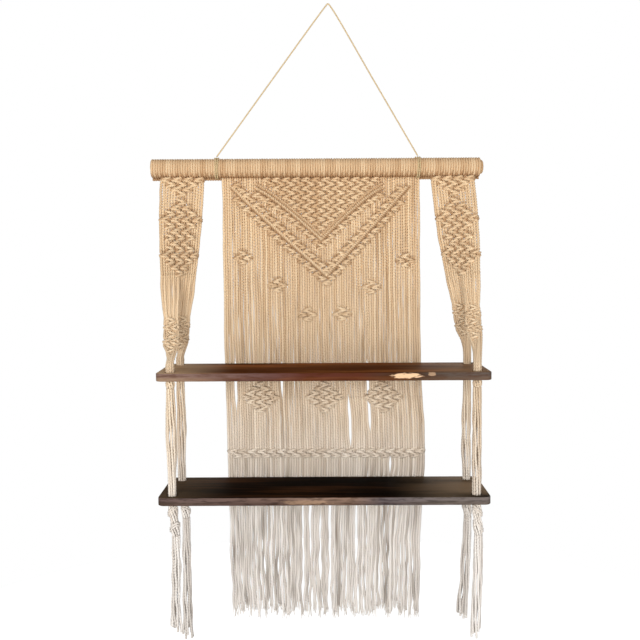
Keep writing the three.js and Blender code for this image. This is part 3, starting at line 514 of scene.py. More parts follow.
def finished(name, made, body, material, slot, *nodes):
    """A bmesh as a smooth piece of the object, which stands for its CAD nodes and moves with a
    body. It is in its place in the frame."""
    mesh = bpy.data.meshes.new(name)
    made.to_mesh(mesh)
    made.free()
    mesh.shade_smooth()
    mesh.materials.append(material)
    piece = new_object(name, mesh)
    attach(piece, body)
    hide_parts(*nodes)
    return piece


class RopeWalk:
    """Lays twisted rope along lines and gathers the ropes into one piece. The valley is the
    radius between two plies, as a share of that on their backs."""

    def __init__(self, name, valley=0.60):
        self.name = name
        self.gathered = bmesh.new()
        section = bpy.data.curves.new("rope_section", "CURVE")
        section.dimensions = "2D"
        outline = section.splines.new("POLY")
        outline.points.add(RING_POINTS - 1)
        for k, point in enumerate(outline.points):
            angle = 2 * math.pi * k / RING_POINTS
            radius = valley if k % PLY_POINTS == 0 else 1.0
            point.co = (radius * math.cos(angle), radius * math.sin(angle), 0, 1)
        outline.use_cyclic_u = True
        line = bpy.data.curves.new("rope_line", "CURVE")
        line.dimensions = "3D"
        line.bevel_mode = "OBJECT"
        line.use_fill_caps = True
        line.resolution_u = 1
        line.twist_mode = "MINIMUM"
        self.section = new_object("rope_section", section)
        self.line = new_object("rope_line", line)
        line.bevel_object = self.section

    def lay(self, points, diameter=None, tone=0.5, step=RING_STEP, lay=None, turn=0.0):
        """One rope through points of x, y, drop and, where they change, its thickness as a share
        and how much painted shade it gets, from 0 to 1."""
        settings = bpy.context.scene.rope_settings
        diameter = diameter or settings.diameter / MM
        lay = lay or settings.lay / MM
        line = smooth_line([(*p, *(1.0, 0.0)[len(p) - 3 :]) for p in points], step)
        places = to_frame(line)
        run = distances(places)
        turns = turn + 2 * math.pi * run / (lay * MM)
        self.turned = turns[-1]
        curve = self.line.data
        curve.splines.clear()
        spline = curve.splines.new("POLY")
        spline.points.add(len(places) - 1)
        spline.points.foreach_set("co", np.column_stack([places, np.ones(len(places))]).ravel())
        spline.points.foreach_set("tilt", turns)
        spline.points.foreach_set("radius", line[:, 3] * diameter * MM / 2)
        curve.update_tag()
        bpy.context.view_layer.update()
        depsgraph = bpy.context.evaluated_depsgraph_get()
        mesh = bpy.data.meshes.new_from_object(
            self.line.evaluated_get(depsgraph), depsgraph=depsgraph
        )
        layer = mesh.uv_layers[0]
        layer.name = "UVMap"
        uv = np.empty(2 * len(mesh.loops), np.float32)
        layer.data.foreach_get("uv", uv)
        uv[0::2] *= run[-1]
        layer.data.foreach_set("uv", uv)
        rings = np.append(line[:, 4], line[[0, -1], 4])  # the caps' points come last
        shades = np.repeat(rings, RING_POINTS)
        # The shade attribute carries painted shade into the rope's colour.
        for name, values in (("tone", np.full(len(shades), tone)), ("shade", shades)):
            attribute = mesh.attributes.new(name, "FLOAT", "POINT")
            attribute.data.foreach_set("value", values.astype(np.float32))
        self.gathered.from_mesh(mesh)
        bpy.data.meshes.remove(mesh)
        return places

    def piece(self, body, *nodes, material=None, slot="rope"):
        """The gathered ropes as one object."""
        bmesh.ops.remove_doubles(self.gathered, verts=self.gathered.verts, dist=1e-7)
        bmesh.ops.recalc_face_normals(self.gathered, faces=self.gathered.faces)
        for made in (self.section, self.line):
            data = made.data
            bpy.data.objects.remove(made)
            bpy.data.curves.remove(data)
        piece = finished(self.name, self.gathered, body, material or cotton(), slot, *nodes)
        piece.data.set_sharp_from_angle(angle=CAP_ANGLE)
        return piece


# ------------------------------------------------------------------ the backdrop's strands


def strand_x(i):
    return BACKDROP_CENTER + (i - (STRANDS - 1) / 2) * STRAND_PITCH


def hitch_x(hitch):
    return BACKDROP_CENTER + hitch * HITCH_PITCH


def chevron_line(point, left, right, end_drop, point_drop, sag):
    """The drop of a chevron's middle at x, in straight stretches."""
    drops = [
        end_drop + (point_drop - end_drop) * (1 - i / CHEVRON_STRETCHES) ** sag
        for i in range(CHEVRON_STRETCHES + 1)
    ]

    def line(x):
        share = min(abs(x - point) / (left if x < point else right), 1)
        i = min(int(CHEVRON_STRETCHES * share), CHEVRON_STRETCHES - 1)
        return drops[i] + (drops[i + 1] - drops[i]) * (CHEVRON_STRETCHES * share - i)

    return line


inner_line = chevron_line(*INNER)
outer_line = chevron_line(*OUTER)


def within(way, x, margin=0.0):
    """Whether x lies between a chevron's ends."""
    return way[0] - way[1] + margin < x < way[0] + way[2] - margin


def leant(point):
    """A point of the backdrop after its edges' drift to the side."""
    x, *rest = point
    across = (x - BACKDROP_CENTER) / (STRANDS * STRAND_PITCH) + 0.5
    left, right = (np.interp(point[2], LEAN_DROPS, edge) for edge in (LEAN_LEFT, LEAN_RIGHT))
    return (x + left + (right - left) * across, *rest)


def diamond_edge(hitch, x):
    """Half the height of a large diamond at x, or less than 0 beside it."""
    return KNOT_ROW / HITCH_PITCH * (LARGE_DIAMOND_REACH - abs(x - hitch_x(hitch)))


def diamond_half(x):
    """Half the height of whichever large diamond lies at x."""
    return max(0, *(diamond_edge(hitch, x) for hitch in LARGE_DIAMONDS.values()))


def diamond_knots(hitch, drop, widest):
    """Knots of a diamond, as hitch and drop: its rows go up to the widest and back."""
    return [
        (hitch + place, drop + row * KNOT_ROW)
        for row in range(1 - widest, widest)
        for place in range(abs(row) - widest + 1, widest - abs(row), 2)
    ]


def backdrop_knots():
    """Every knot of the backdrop by the piece that it belongs to, as hitch and drop."""
    knots = {name: [] for name in ("net", "band", "outer", "drop", "diamonds", "knot_band")}
    for row in range(14):
        for hitch in TIED_HITCHES:
            x, drop = hitch_x(hitch), NET_TOP + row * KNOT_ROW
            fits = within(INNER, x, 6) and drop < inner_line(x) - NET_GAP
            if (hitch + row) % 2 and fits:
                knots["net"].append((hitch, drop))
    for hitch in TIED_HITCHES:
        x = hitch_x(hitch)
        if within(OUTER, x, 8):
            knots["outer"].append((hitch, outer_line(x) + UNDER_OUTER))
            over = outer_line(x) - OVER_OUTER
            if over > NET_TOP:
                knots["band"].append((hitch, over))
            under_inner = inner_line(x) + UNDER_INNER
            if within(INNER, x, -4) and under_inner < over - 1.2 * KNOT_ROW:
                knots["band"].append((hitch, under_inner))
    for hitch, drop in SMALL_DIAMONDS:
        knots["drop"] += diamond_knots(hitch, drop, 2)
    for hitch in LARGE_DIAMONDS.values():
        knots["diamonds"] += diamond_knots(hitch, LARGE_DIAMOND_DROP, 4)
    for row in range(2):
        drop = KNOT_BAND_DROP + KNOT_BAND_LEAD + KNOT_ROW * row
        knots["knot_band"] += [(hitch, drop) for hitch in TIED_HITCHES[row::2]]
    return knots


KNOTS = backdrop_knots()


def held_drops():
    """For each strand the drops at which something holds it."""
    held = {i: [STRAND_TOP, KNOT_BAND_DROP] for i in range(STRANDS)}
    for i in range(STRANDS):
        x = strand_x(i)
        for way, line in ((INNER, inner_line), (OUTER, outer_line)):
            if within(way, x):
                held[i].append(line(x))
    for knots in KNOTS.values():
        for hitch, drop in knots:
            for role in range(len(KNOT_WAYS)):
                held[FIRST_TIED + 2 * hitch + role].append(drop)
    return {i: np.array(sorted(drops)) for i, drops in held.items()}


HELD = held_drops()


def slack(i, drop):
    """How freely strand i hangs at a drop, from 0 where it is held to 1."""
    drops = HELD[i]
    over = drop - drops[drops < drop].max(initial=-1e3)
    under = drops[drops > drop].min(initial=1e4) - drop
    return min(1.0, max(0.0, min(over, under) - HELD_LENGTH) / FREE_LENGTH)


def hanging_place(i, drop):
    """Where strand i hangs at a drop: its own place, what drifts it sideways and forwards, and its
    painted shade.
    """
    settings = bpy.context.scene.rope_settings
    x = strand_x(i)
    loose = slack(i, drop)
    fall = max(0.0, drop - FRINGE_TOP) / FRINGE_LENGTH
    aside = sway(settings.clump / MM, CLUMP_WAVE, i, drop, fall)
    aside += sway(settings.wander / MM, OWN_WAVE, i, drop, fall)
    depth = sway(DEPTH_SWAY, DEPTH_WAVE, i, drop, fall) + STAGGER * (-1) ** i
    apart = 0.0
    for at, top, bottom in SLITS:
        opened = max(0.0, min((drop - top) / SLIT_TAPER, (bottom - drop) / SLIT_TAPER, 1.0))
        away = x - at
        apart += math.copysign(SLIT_HALF, away) * opened * math.exp(-((away / SLIT_REACH) ** 2))
    # Painted shade: on every other strand, the recessed ones, and on random strands, more so down
    # the fringe.
    uneven = max(0.0, drift(1.7 * i, drop / 70, 5.5) - 0.12)
    shade = 0.05 * (1 + (-1) ** i) + (0.6 + 0.7 * min(1.0, 4 * fall)) * uneven
    return x + loose * aside + apart, BACKDROP_PLANE + loose * depth, drop, 1.0, shade


def knot_way(
    role, middle, drop, mirror, half=KNOT_HALF, wide=KNOT_WIDE, slim=KNOT_SLIM, shade=1.0,
):
    """One of four strands through a knot, as points of across, towards the wall, drop, size and
    painted shade. The painted shade is least at the front of the knot and most inside it and at its
    sides."""
    if mirror:
        role, wide = len(KNOT_WAYS) - 1 - role, -wide
    points = []
    for a, b, c in KNOT_WAYS[role]:
        # Painted shade: least at the knot's front, most inside it, less behind it, and more again at
        # its sides.
        inside = 0.44 + 0.56 * b if b < 0.1 else 0.55 - 0.4 * b
        hidden = shade * max(0.0, inside, 1.3 * (abs(a) - 0.68))
        points.append((middle + wide * a, KNOT_DEEP * b, drop + half * c, slim, min(1.0, hidden)))
    return points


def through_knots(met, top, bottom, lead, longest, hang):
    """A strand's points from a top to a bottom drop. The met knots are drops, half heights and
    points. Over each knot it hangs to a lead above it, and hang gives a place to each drop."""
    points = []

    def reach(start, end):
        count = max(1, math.ceil((end - start) / longest))
        points.extend(hang(drop, start, end) for drop in evenly(start, end, count))

    at = top
    for drop, half, way in met:
        if drop - half - at > LEAST_HANG:
            reach(at, drop - half - lead)
        points.extend(way)
        at = drop + half
    if bottom - at > LEAST_HANG:
        reach(at + (lead if met else 0), bottom)
    return points


def backdrop_strand(i, top, bottom, knots, shades):
    """Points of strand i from a top to a bottom drop through the given knots. The shades are
    the painted shade of its two ends."""
    met = []
    for drop, hitch in sorted((drop, hitch) for hitch, drop in knots):
        role = i - FIRST_TIED - 2 * hitch
        if 0 <= role < len(KNOT_WAYS) and top - 2 < drop < bottom + 2:
            soft = SOFT_SHADE if drop > SOFT_KNOTS else 1.0
            way = knot_way(role, hitch_x(hitch), drop, hitch % 2, shade=soft)
            met.append((drop, KNOT_HALF, [(x, BACKDROP_PLANE + y, *rest) for x, y, *rest in way]))
    points = through_knots(met, top, bottom, 2.5, 11, lambda drop, *_: hanging_place(i, drop))
    if points:
        for end, shade in zip((0, -1), shades):
            points[end] = (*points[end][:4], max(points[end][4], shade))
        x, y, drop, _, shade = hanging_place(i, bottom + HIDDEN_END)
        points.append((x, y, drop, END_SIZE, max(shade, shades[1])))
    return points


def strand_tone(i):
    """Each strand's own shade, from 0, light, to 1: partly its own and partly its neighbours'."""
    own = 0.5 * math.sin(12.9898 * i + 4.1) * math.cos(3.7 * i)
    return 0.45 + own + 0.45 * drift(0.42 * i, 0.3, 7.7)


TURNS = [0.37 * i for i in range(STRANDS)]  # how far each strand's plies have turned so far


def lay_strands(walk, spans, knots, shades=(0.0, 0.0)):
    """Strands as (number, top, bottom) with the knots that tie them."""
    for i, top, bottom in spans:
        points = backdrop_strand(i, top, bottom, knots, shades)
        if len(points) > 1:
            walk.lay([leant(p) for p in points], tone=strand_tone(i), turn=TURNS[i])
            TURNS[i] = walk.turned


def lay_ridge(walk, line, way, down, size):
    """A row of tight half hitches along a chevron: rope wound round a hidden cord. The size is
    that of the winding's middle, as a share of the main ridge's."""
    point, shades = way[0], len(RIDGE_SHADES)
    for start, end in ((point - way[1], point), (point + way[2], point)):
        count = max(2, round(abs(end - start) / RIDGE_STEP))
        y = BACKDROP_PLANE - RIDGE_FORWARD
        core = [(x, y, line(x) + down) for x in evenly(start, end, count)]
        walk.lay([leant(p) for p in core[::3] + [core[-1]]], tone=CORE_TONE)
        path = np.array(core)
        run = distances(path)
        count = shades * round(run[-1] / RIDGE_TURN)
        wound = []
        for k, at in enumerate(evenly(0, run[-1], count)):
            x, y, drop = (np.interp(at, run, path[:, axis]) for axis in range(3))
            slope = (line(x + 1) - line(x - 1)) / 2
            steep = math.hypot(1, slope)
            angle = 2 * math.pi * k / shades
            up = RIDGE_RADIUS * size * math.sin(angle)
            along = RIDGE_SLANT * math.sin(angle)
            wound.append(leant((
                x + (-slope * up + along) / steep, y - RIDGE_RADIUS * size * math.cos(angle),
                drop + (up + slope * along) / steep, 1.0, RIDGE_SHADES[k % shades],
            )))
        # The winding takes the lighter tone, as painted light.
        walk.lay(wound, diameter=RIDGE_ROPE * size, tone=RIDGE_LIT_TONE)


# ------------------------------------------------------------------ side panels and bundles


def turned(x, y, across, deep, turn):
    """A place across and deep of a point, on axes turned about the upright one."""
    cos, sin = math.cos(turn), math.sin(turn)
    return x + across * cos - deep * sin, y + across * sin + deep * cos


def side_place(side, s, n, drop):
    """Where the point s across and n through a side panel lies: the panel makes a quarter turn
    on its way to the board."""
    share = drop / UPPER_BOARD_DROP
    turn = -SIGNS[side] * share * math.pi / 2
    middle = SIDE_CENTERS[side] + share * (SIGNS[side] * HOLE_X - SIDE_CENTERS[side])
    out = share * sum(HOLE_PLACES.values()) / 2
    return (*turned(middle, out, s, n, turn), drop)


def side_knots():
    """Knots of a side panel, as middle place (in half knots), drop and half height."""
    places = {1: (0,), 2: (-1, 1), 3: (-2, 0, 2), 4: (-3, -1, 1, 3)}
    knots = []
    for start, pitch, half, counts in (
        (NET_TOP, 9.3, 4.5, (4, 3, 2, 1)),
        (SIDE_NET_START, SIDE_KNOT_ROW, 5.2, (1, 2, 3, 4, 3, 2, 3, 2, 3, 4, 3, 2, 1)),
    ):
        for row, count in enumerate(counts):
            knots += [(m, start + pitch * row, half) for m in places[count]]
    return knots


def side_strand_points(side, k, knots):
    """Points of a side panel's strand k down to where the legs begin."""
    s = (k - (SIDE_STRANDS - 1) / 2) * SIDE_PITCH
    met = []
    for drop, m, half in sorted((drop, m, half) for m, drop, half in knots):
        role = k - 6 - 2 * m
        if 0 <= role < len(KNOT_WAYS):
            way = knot_way(role, 2 * SIDE_PITCH * m, drop, m % 2, half, SIDE_KNOT_WIDE)
            met.append((drop, half, way))

    def hang(drop, start, end):
        loose = min(1.0, max(0.0, min(drop - start, end - drop)) / 20)
        away = sway(loose * 1.6, (1.3, 5 if side == "left" else 50, 30, 2.2, 0), k, drop)
        deep = sway(loose * 1.5, (1.9, 7, 40, 6.1, 0), k, drop)
        # Every other strand gets a little painted shade.
        return s + away, deep, drop, 1.0, 0.06 * (1 + (-1) ** k)

    bottom = SIDE_NET_DROP + 1
    flat = through_knots(met, STRAND_TOP, bottom, 1.5, 10, hang)
    flat.append((s, 0.0, bottom + HIDDEN_END, END_SIZE, 0.0))
    return [(*side_place(side, a, n, drop), *rest) for a, n, drop, *rest in flat]


def corner_place(side, end):
    """Where a corner's hole is: x and y."""
    return SIGNS[side] * HOLE_X, HOLE_PLACES[end]


def frames_along(points):
    """An even centre line with two cross directions at each point that don't spin round it."""
    line = smooth_line(points, BUNDLE_STEP)
    ahead = np.gradient(line[:, :3], axis=0)
    ahead /= np.linalg.norm(ahead, axis=1)[:, None]
    side = np.cross(ahead[0], (0.0, 1.0, 0.0))
    side /= np.linalg.norm(side)
    sides = []
    for forward in ahead:
        side = side - forward * side.dot(forward)
        side /= np.linalg.norm(side)
        sides.append(side)
    sides = np.array(sides)
    return line, sides, np.cross(ahead, sides)


def lay_bundle(walk, points, diameter, seed, twist, loose, ragged=0.0, tied=False):
    """Ropes side by side round a centre line. The points' fourth value widens the ring. Tied
    ones are held at both ends."""
    line, across, upward = frames_along(points)
    total = len(line)
    for k in range(BUNDLE_STRANDS):
        cut = total - int(ragged * (0.5 + 0.5 * math.sin(7.3 * k + seed)))
        rope = []
        for j in range(cut):
            share = j / (total - 1)
            free = loose * min(1.0, 4 * share, 4 * (1 - share) if tied else 1.0)
            wide = BUNDLE_RING * line[j, 3] + free * drift(1.9 * k + seed, share * 6, 3.3)
            angle = 2 * math.pi * (k + 0.5) / BUNDLE_STRANDS + twist * BUNDLE_STEP * j
            angle += free * 0.12 * drift(2.3 * k + seed, share * 5, 9.1)
            away = wide * (math.cos(angle) * across[j] + math.sin(angle) * upward[j])
            rope.append(line[j, :3] + away)
        walk.lay(rope, diameter=diameter, tone=0.5 + 0.5 * math.sin(5.1 * k + seed))


# ------------------------------------------------------------------ operators


def done(operator):
    operator.report({"INFO"}, operator.bl_label + " is made")
    return {"FINISHED"}


class ROPESHELF_OT_stage(bpy.types.Operator):
    """Make the camera, the plain lamps, the white surround and the pale floor"""

    bl_idname = "rope_shelf.make_stage"
    bl_label = "Stage"

    CAMERA_PLACE = (-0.0111, -1.6522, -0.49995)
    PITCH, ROLL, YAW = 3.934, 0.322, 0.26
    LENS = 47.0
    AIM = Vector((0, 0, -0.6))
    # Each lamp's place, size and power
    LAMPS = {
        "key_lamp": ((-1.1, -2.5, -0.3), 1.0, 34),
        "fill_lamp": ((0.9, -2.6, -0.86), 1.6, 32),
        "back_lamp": ((0.4, 2.6, -0.5), 1.6, 16),
    }
    SURROUND_LIGHT = 0.42  # how strongly the surround lights things, where the camera sees 1
    FLOOR_DROP, FLOOR_RADIUS = 1.34, 1.1

    def execute(self, context):
        scene = context.scene
        scene.view_settings.view_transform = "Standard"
        self.camera(scene)
        self.lamps()
        self.world(scene)
        self.floor()
        return done(self)

    def camera(self, scene):
        data = bpy.data.cameras.new("camera")
        data.lens, data.sensor_width = self.LENS, 36.0
        pitch, yaw, roll = (math.radians(a) for a in (self.PITCH, self.YAW, self.ROLL))
        turn = (
            Matrix.Rotation(yaw, 4, "Z")
            @ Matrix.Rotation(math.pi / 2 - pitch, 4, "X")
            @ Matrix.Rotation(-roll, 4, "Z")
        )
        scene.camera = new_object("camera", data)
        scene.camera.matrix_world = Matrix.Translation(self.CAMERA_PLACE) @ turn

    def lamps(self):
        for name, (place, size, power) in self.LAMPS.items():
            data = bpy.data.lights.new(name, "AREA")
            data.size, data.energy = size, power
            lamp = new_object(name, data)
            lamp.location = place
            aim = self.AIM - Vector(place)
            lamp.rotation_euler = aim.to_track_quat("-Z", "Y").to_euler()

    def world(self, scene):
        world = bpy.data.worlds.new("white_surround")
        world.use_nodes = True
        nodes = Nodes(world.node_tree)
        background = nodes.tree.nodes["Background"].inputs
        background["Color"].default_value = (1, 1, 1, 1)
        strength = self.SURROUND_LIGHT + (1 - self.SURROUND_LIGHT) * nodes.seen_directly()
        nodes.plug(background["Strength"], strength)
        scene.world = world

    def floor(self):
        disc = bmesh.new()
        bmesh.ops.create_circle(disc, cap_ends=True, segments=96, radius=self.FLOOR_RADIUS)
        mesh = bpy.data.meshes.new("floor")
        disc.to_mesh(mesh)
        disc.free()
        floor = new_object("floor", mesh)
        floor.location = (-NAIL_OFFSET * MM, -0.25, -self.FLOOR_DROP)
        surface = Finish(
            "pale_floor", Roughness=0.9, Specular_IOR_Level=0.0,
            Base_Color=(0.86, 0.86, 0.86, 1), Emission_Strength=0.65,
        )
        glow = surface.mix(surface.seen_directly(), (0.0, 0.0, 0.0), (1.0, 1.0, 1.0))
        surface.finish_with(Emission_Color=glow)
        mesh.materials.append(surface.material)


class ROPESHELF_OT_hanging_cord(bpy.types.Operator):
    """Make the thin cord over the nail and its two ties round the dowel"""

    bl_idname = "rope_shelf.make_hanging_cord"
    bl_label = "Hanging cord"

    DIAMETER, LAY, STEP, VALLEY = 3.0, 9, 1.5, 0.85
    TIE_RADIUS, TIE_TURNS, TIE_PITCH, TIE_POINTS = 19.6, 2, 3.75, 24

    def execute(self, context):
        finish = cord_finish()
        walk = RopeWalk("hanging_cord_twisted", valley=self.VALLEY)
        points = [(x, 0, drop - HANG_DROP) for x, drop in CORD_POINTS]
        path = walk.lay(points, diameter=self.DIAMETER, lay=self.LAY, step=self.STEP)
        cord = walk.piece("hanger", "hanging_cord", material=finish, slot="cord")
        for side, x in TIE_PLACES.items():
            walk = RopeWalk(f"{side}_cord_tie_wound", valley=self.VALLEY)
            helix = []
            for turn in evenly(-0.5, 0.5, self.TIE_POINTS * self.TIE_TURNS):
                angle = 2 * math.pi * self.TIE_TURNS * turn
                helix.append((
                    x + self.TIE_PITCH * self.TIE_TURNS * turn,
                    self.TIE_RADIUS * math.sin(angle),
                    -self.TIE_RADIUS * math.cos(angle),
                ))
            walk.lay(helix, diameter=self.DIAMETER, lay=self.LAY, step=self.STEP)
            walk.piece("hanger", f"{side}_cord_tie", material=finish, slot="cord")
        return done(self)


class ROPESHELF_OT_dowel(bpy.types.Operator):
    """Make the dowel and the ropes hitched over it"""

    bl_idname = "rope_shelf.make_dowel"
    bl_label = "Dowel"

    ROUND = 5
    WRAP_RADIUS, BAR_RADIUS = 16.0, 20.2
    ROPE, LAY, VALLEY = 5.3, 70, 0.88

    def execute(self, context):
        rod = bmesh.new()
        bmesh.ops.create_circle(rod, cap_ends=True, segments=48, radius=DOWEL_RADIUS * MM)
        grown = bmesh.ops.extrude_face_region(rod, geom=rod.faces[:])
        length = (DOWEL_ENDS[1] - DOWEL_ENDS[0]) * MM
        moved = [v for v in grown["geom"] if isinstance(v, bmesh.types.BMVert)]
        bmesh.ops.translate(rod, verts=moved, vec=(0, 0, length))
        bevel(rod, [e for e in rod.edges if rise(e) < 1e-6], self.ROUND * MM, 5)
        bmesh.ops.recalc_face_normals(rod, faces=rod.faces)
        turn = Matrix.Translation(((DOWEL_ENDS[0] - NAIL_OFFSET) * MM, 0, -HANG_DROP * MM))
        turn = turn @ Matrix.Rotation(math.pi / 2, 4, "Y")
        bmesh.ops.transform(rod, matrix=turn, verts=rod.verts)
        finished("dowel_rod", rod, "hanger", dowel_finish(), "dowel", "dowel")
        for side, (start, count) in HITCHES.items():
            walk = RopeWalk(f"{side}_hitches_wound", valley=self.VALLEY)
            for k in range(count):
                self.hitch(walk, start + (k + 0.5) * HITCH_PITCH, k)
            walk.piece("hanger", f"{side}_hitches")
        return done(self)

    def hitch(self, walk, x, number):
        """One folded rope: up behind the dowel, over it, down its front and under to the bar."""
        half = STRAND_PITCH / 2
        around = [(angle, self.WRAP_RADIUS) for angle in (-28, *range(0, 280, 20))]
        around += [(288, self.WRAP_RADIUS + 1.6), (304, self.BAR_RADIUS)]
        lean = 0.25 * math.sin(5.7 * number + x)
        # Painted shade: heavy behind the dowel and under its front, less over the rest, least at the
        # bar.
        arm = [(half, BACKDROP_PLANE + 1.5, STRAND_TOP + 4, 1.0, 0.6)]
        for angle, radius in around:
            shade = 0.7 if angle < 0 or 235 < angle < 290 else 0.25
            cos, sin = math.cos(math.radians(angle)), math.sin(math.radians(angle))
            arm.append((half + lean * sin, radius * cos, -radius * sin, 1.0, shade))
        left = [(x - dx, *rest) for dx, *rest in arm]
        right = [(x + dx, *rest) for dx, *rest in reversed(arm)]
        bar = [(x, left[-1][1] + 0.6, left[-1][2] + 0.6, 1.0, 0.2)]
        tone = 0.42 + 0.5 * math.sin(3.3 * number + x) * math.cos(1.9 * number)
        walk.lay(left + bar + right, diameter=self.ROPE, tone=tone, lay=self.LAY)


class ROPESHELF_OT_backdrop(bpy.types.Operator):
    """Make the knotted nets, chevrons, strands and diamonds of the backdrop"""

    bl_idname = "rope_shelf.make_backdrop"
    bl_label = "Backdrop"

    # How much painted shade the strands' two ends get, where they meet a ridge
    NET_SHADES, DROP_SHADES, OUTER_SHADES = (0.7, 0.8), (0.35, 0.0), (0.8, 0.3)
    # The ridges' drops under a chevron's line, and their sizes
    INNER_RIDGES = ((-2.2, 0.8), (RIDGE_PITCH / 2, 1.0))
    OUTER_RIDGE = (-RIDGE_PITCH / 2, 1.1)

    def execute(self, context):
        self.net()
        self.chevrons()
        self.drop_strands()
        self.diamonds()
        self.lower_strands()
        return done(self)

    def lay(self, name, spans, knots, node, shades=(0.0, 0.0)):
        walk = RopeWalk(name)
        lay_strands(walk, spans, knots, shades)
        walk.piece("backdrop", node)

    def net(self):
        spans = []
        for i in range(STRANDS):
            x = strand_x(i)
            if within(INNER, x) and inner_line(x) - 8 > STRAND_TOP + 3:
                spans.append((i, STRAND_TOP, inner_line(x) + 0.5))
        self.lay("backdrop_net_knotted", spans, KNOTS["net"], "backdrop_net", self.NET_SHADES)

    def chevrons(self):
        walk = RopeWalk("inner_chevron_hitched")
        for ridge in self.INNER_RIDGES:
            lay_ridge(walk, inner_line, INNER, *ridge)
        walk.piece("backdrop", "inner_chevron")
        spans, outer = [], []
        for i in range(STRANDS):
            x = strand_x(i)
            if not within(OUTER, x):
                continue
            top = inner_line(x) + 1 if within(INNER, x) else STRAND_TOP
            if outer_line(x) - 10 > top + 3:
                spans.append((i, top, outer_line(x) - 8))
            outer.append((i, outer_line(x) - 7, outer_line(x) + RIDGE_PITCH))
        self.lay("chevron_band_knotted", spans, KNOTS["band"], "chevron_band", self.NET_SHADES)
        walk = RopeWalk("outer_chevron_hitched")
        lay_ridge(walk, outer_line, OUTER, *self.OUTER_RIDGE)
        lay_strands(walk, outer, KNOTS["outer"], self.OUTER_SHADES)
        walk.piece("backdrop", "outer_chevron")

    def drop_strands(self):
        for name, numbers in HALVES.items():
            spans = []
            for i in numbers:
                x = strand_x(i)
                top = outer_line(x) + RIDGE_PITCH if within(OUTER, x) else STRAND_TOP
                spans.append((i, top - 0.5, LARGE_DIAMOND_DROP - diamond_half(x)))
            shades = self.DROP_SHADES
            self.lay(f"drop_strands_{name}", spans, KNOTS["drop"], "drop_strands", shades)

    def diamonds(self):
        drop = LARGE_DIAMOND_DROP
        for name, hitch in LARGE_DIAMONDS.items():
            halves = [(i, diamond_edge(hitch, strand_x(i))) for i in range(STRANDS)]
            spans = [(i, drop - half - 0.5, drop + half + 0.5) for i, half in halves if half > 0]
            knots = [k for k in KNOTS["diamonds"] if abs(k[0] - hitch) < 4]
            self.lay(f"{name}_diamond_knotted", spans, knots, f"{name}_diamond")

    def lower_strands(self):
        spans = [
            (i, LARGE_DIAMOND_DROP + diamond_half(strand_x(i)), KNOT_BAND_DROP + 0.5)
            for i in range(STRANDS)
        ]
        self.lay("middle_strands_hung", spans, [], "middle_strands")
        spans = [(i, KNOT_BAND_DROP, FRINGE_TOP) for i in range(STRANDS)]
        self.lay("knot_band_knotted", spans, KNOTS["knot_band"], "knot_band")


class ROPESHELF_OT_fringe(bpy.types.Operator):
    """Make the loose fringe with its frayed ends"""

    bl_idname = "rope_shelf.make_fringe"
    bl_label = "Fringe"

    THICK, PLY_THICK, PLY_LAY = 5.9, 2.3, 9
    FRAY = 26.0
    UNEVEN = 9.0
    SHARES = (0, 0.35, 0.7, 1)  # along a frayed ply

    def execute(self, context):
        for name, numbers in HALVES.items():
            walk = RopeWalk(f"fringe_{name}")
            for i in numbers:
                self.strand(walk, i)
            walk.piece("backdrop", "fringe")
        return done(self)

    def strand(self, walk, i):
        bottom = FRINGE_TOP + FRINGE_LENGTH + self.UNEVEN * math.sin(i * i)
        knot_end = bottom - self.FRAY * (0.6 + 0.4 * math.sin(2.7 * i))
        count = math.ceil((knot_end - FRINGE_TOP) / 12)
        drops = evenly(FRINGE_TOP - 0.5, knot_end, count)
        points = [leant(hanging_place(i, drop)) for drop in drops]
        walk.lay(points, diameter=self.THICK, tone=1.2 * strand_tone(i), turn=TURNS[i])
        x, y, drop = points[-1][:3]
        for ply in range(PLIES):
            angle = 2 * math.pi * (ply + 0.17 * i) / PLIES
            spread = 2.2 + 1.6 * math.sin(1.9 * i + ply)
            length = bottom - drop - 3 * (1 + math.sin(3.1 * i + 2 * ply))
            ends = []
            for t in self.SHARES:
                out = 1.0 + spread * t * t
                ends.append((x + out * math.cos(angle), y + out * math.sin(angle),
                             drop - 3 + (length + 3) * t, 1 - 0.35 * t))
            walk.lay(ends, diameter=self.PLY_THICK, tone=strand_tone(i), lay=self.PLY_LAY)


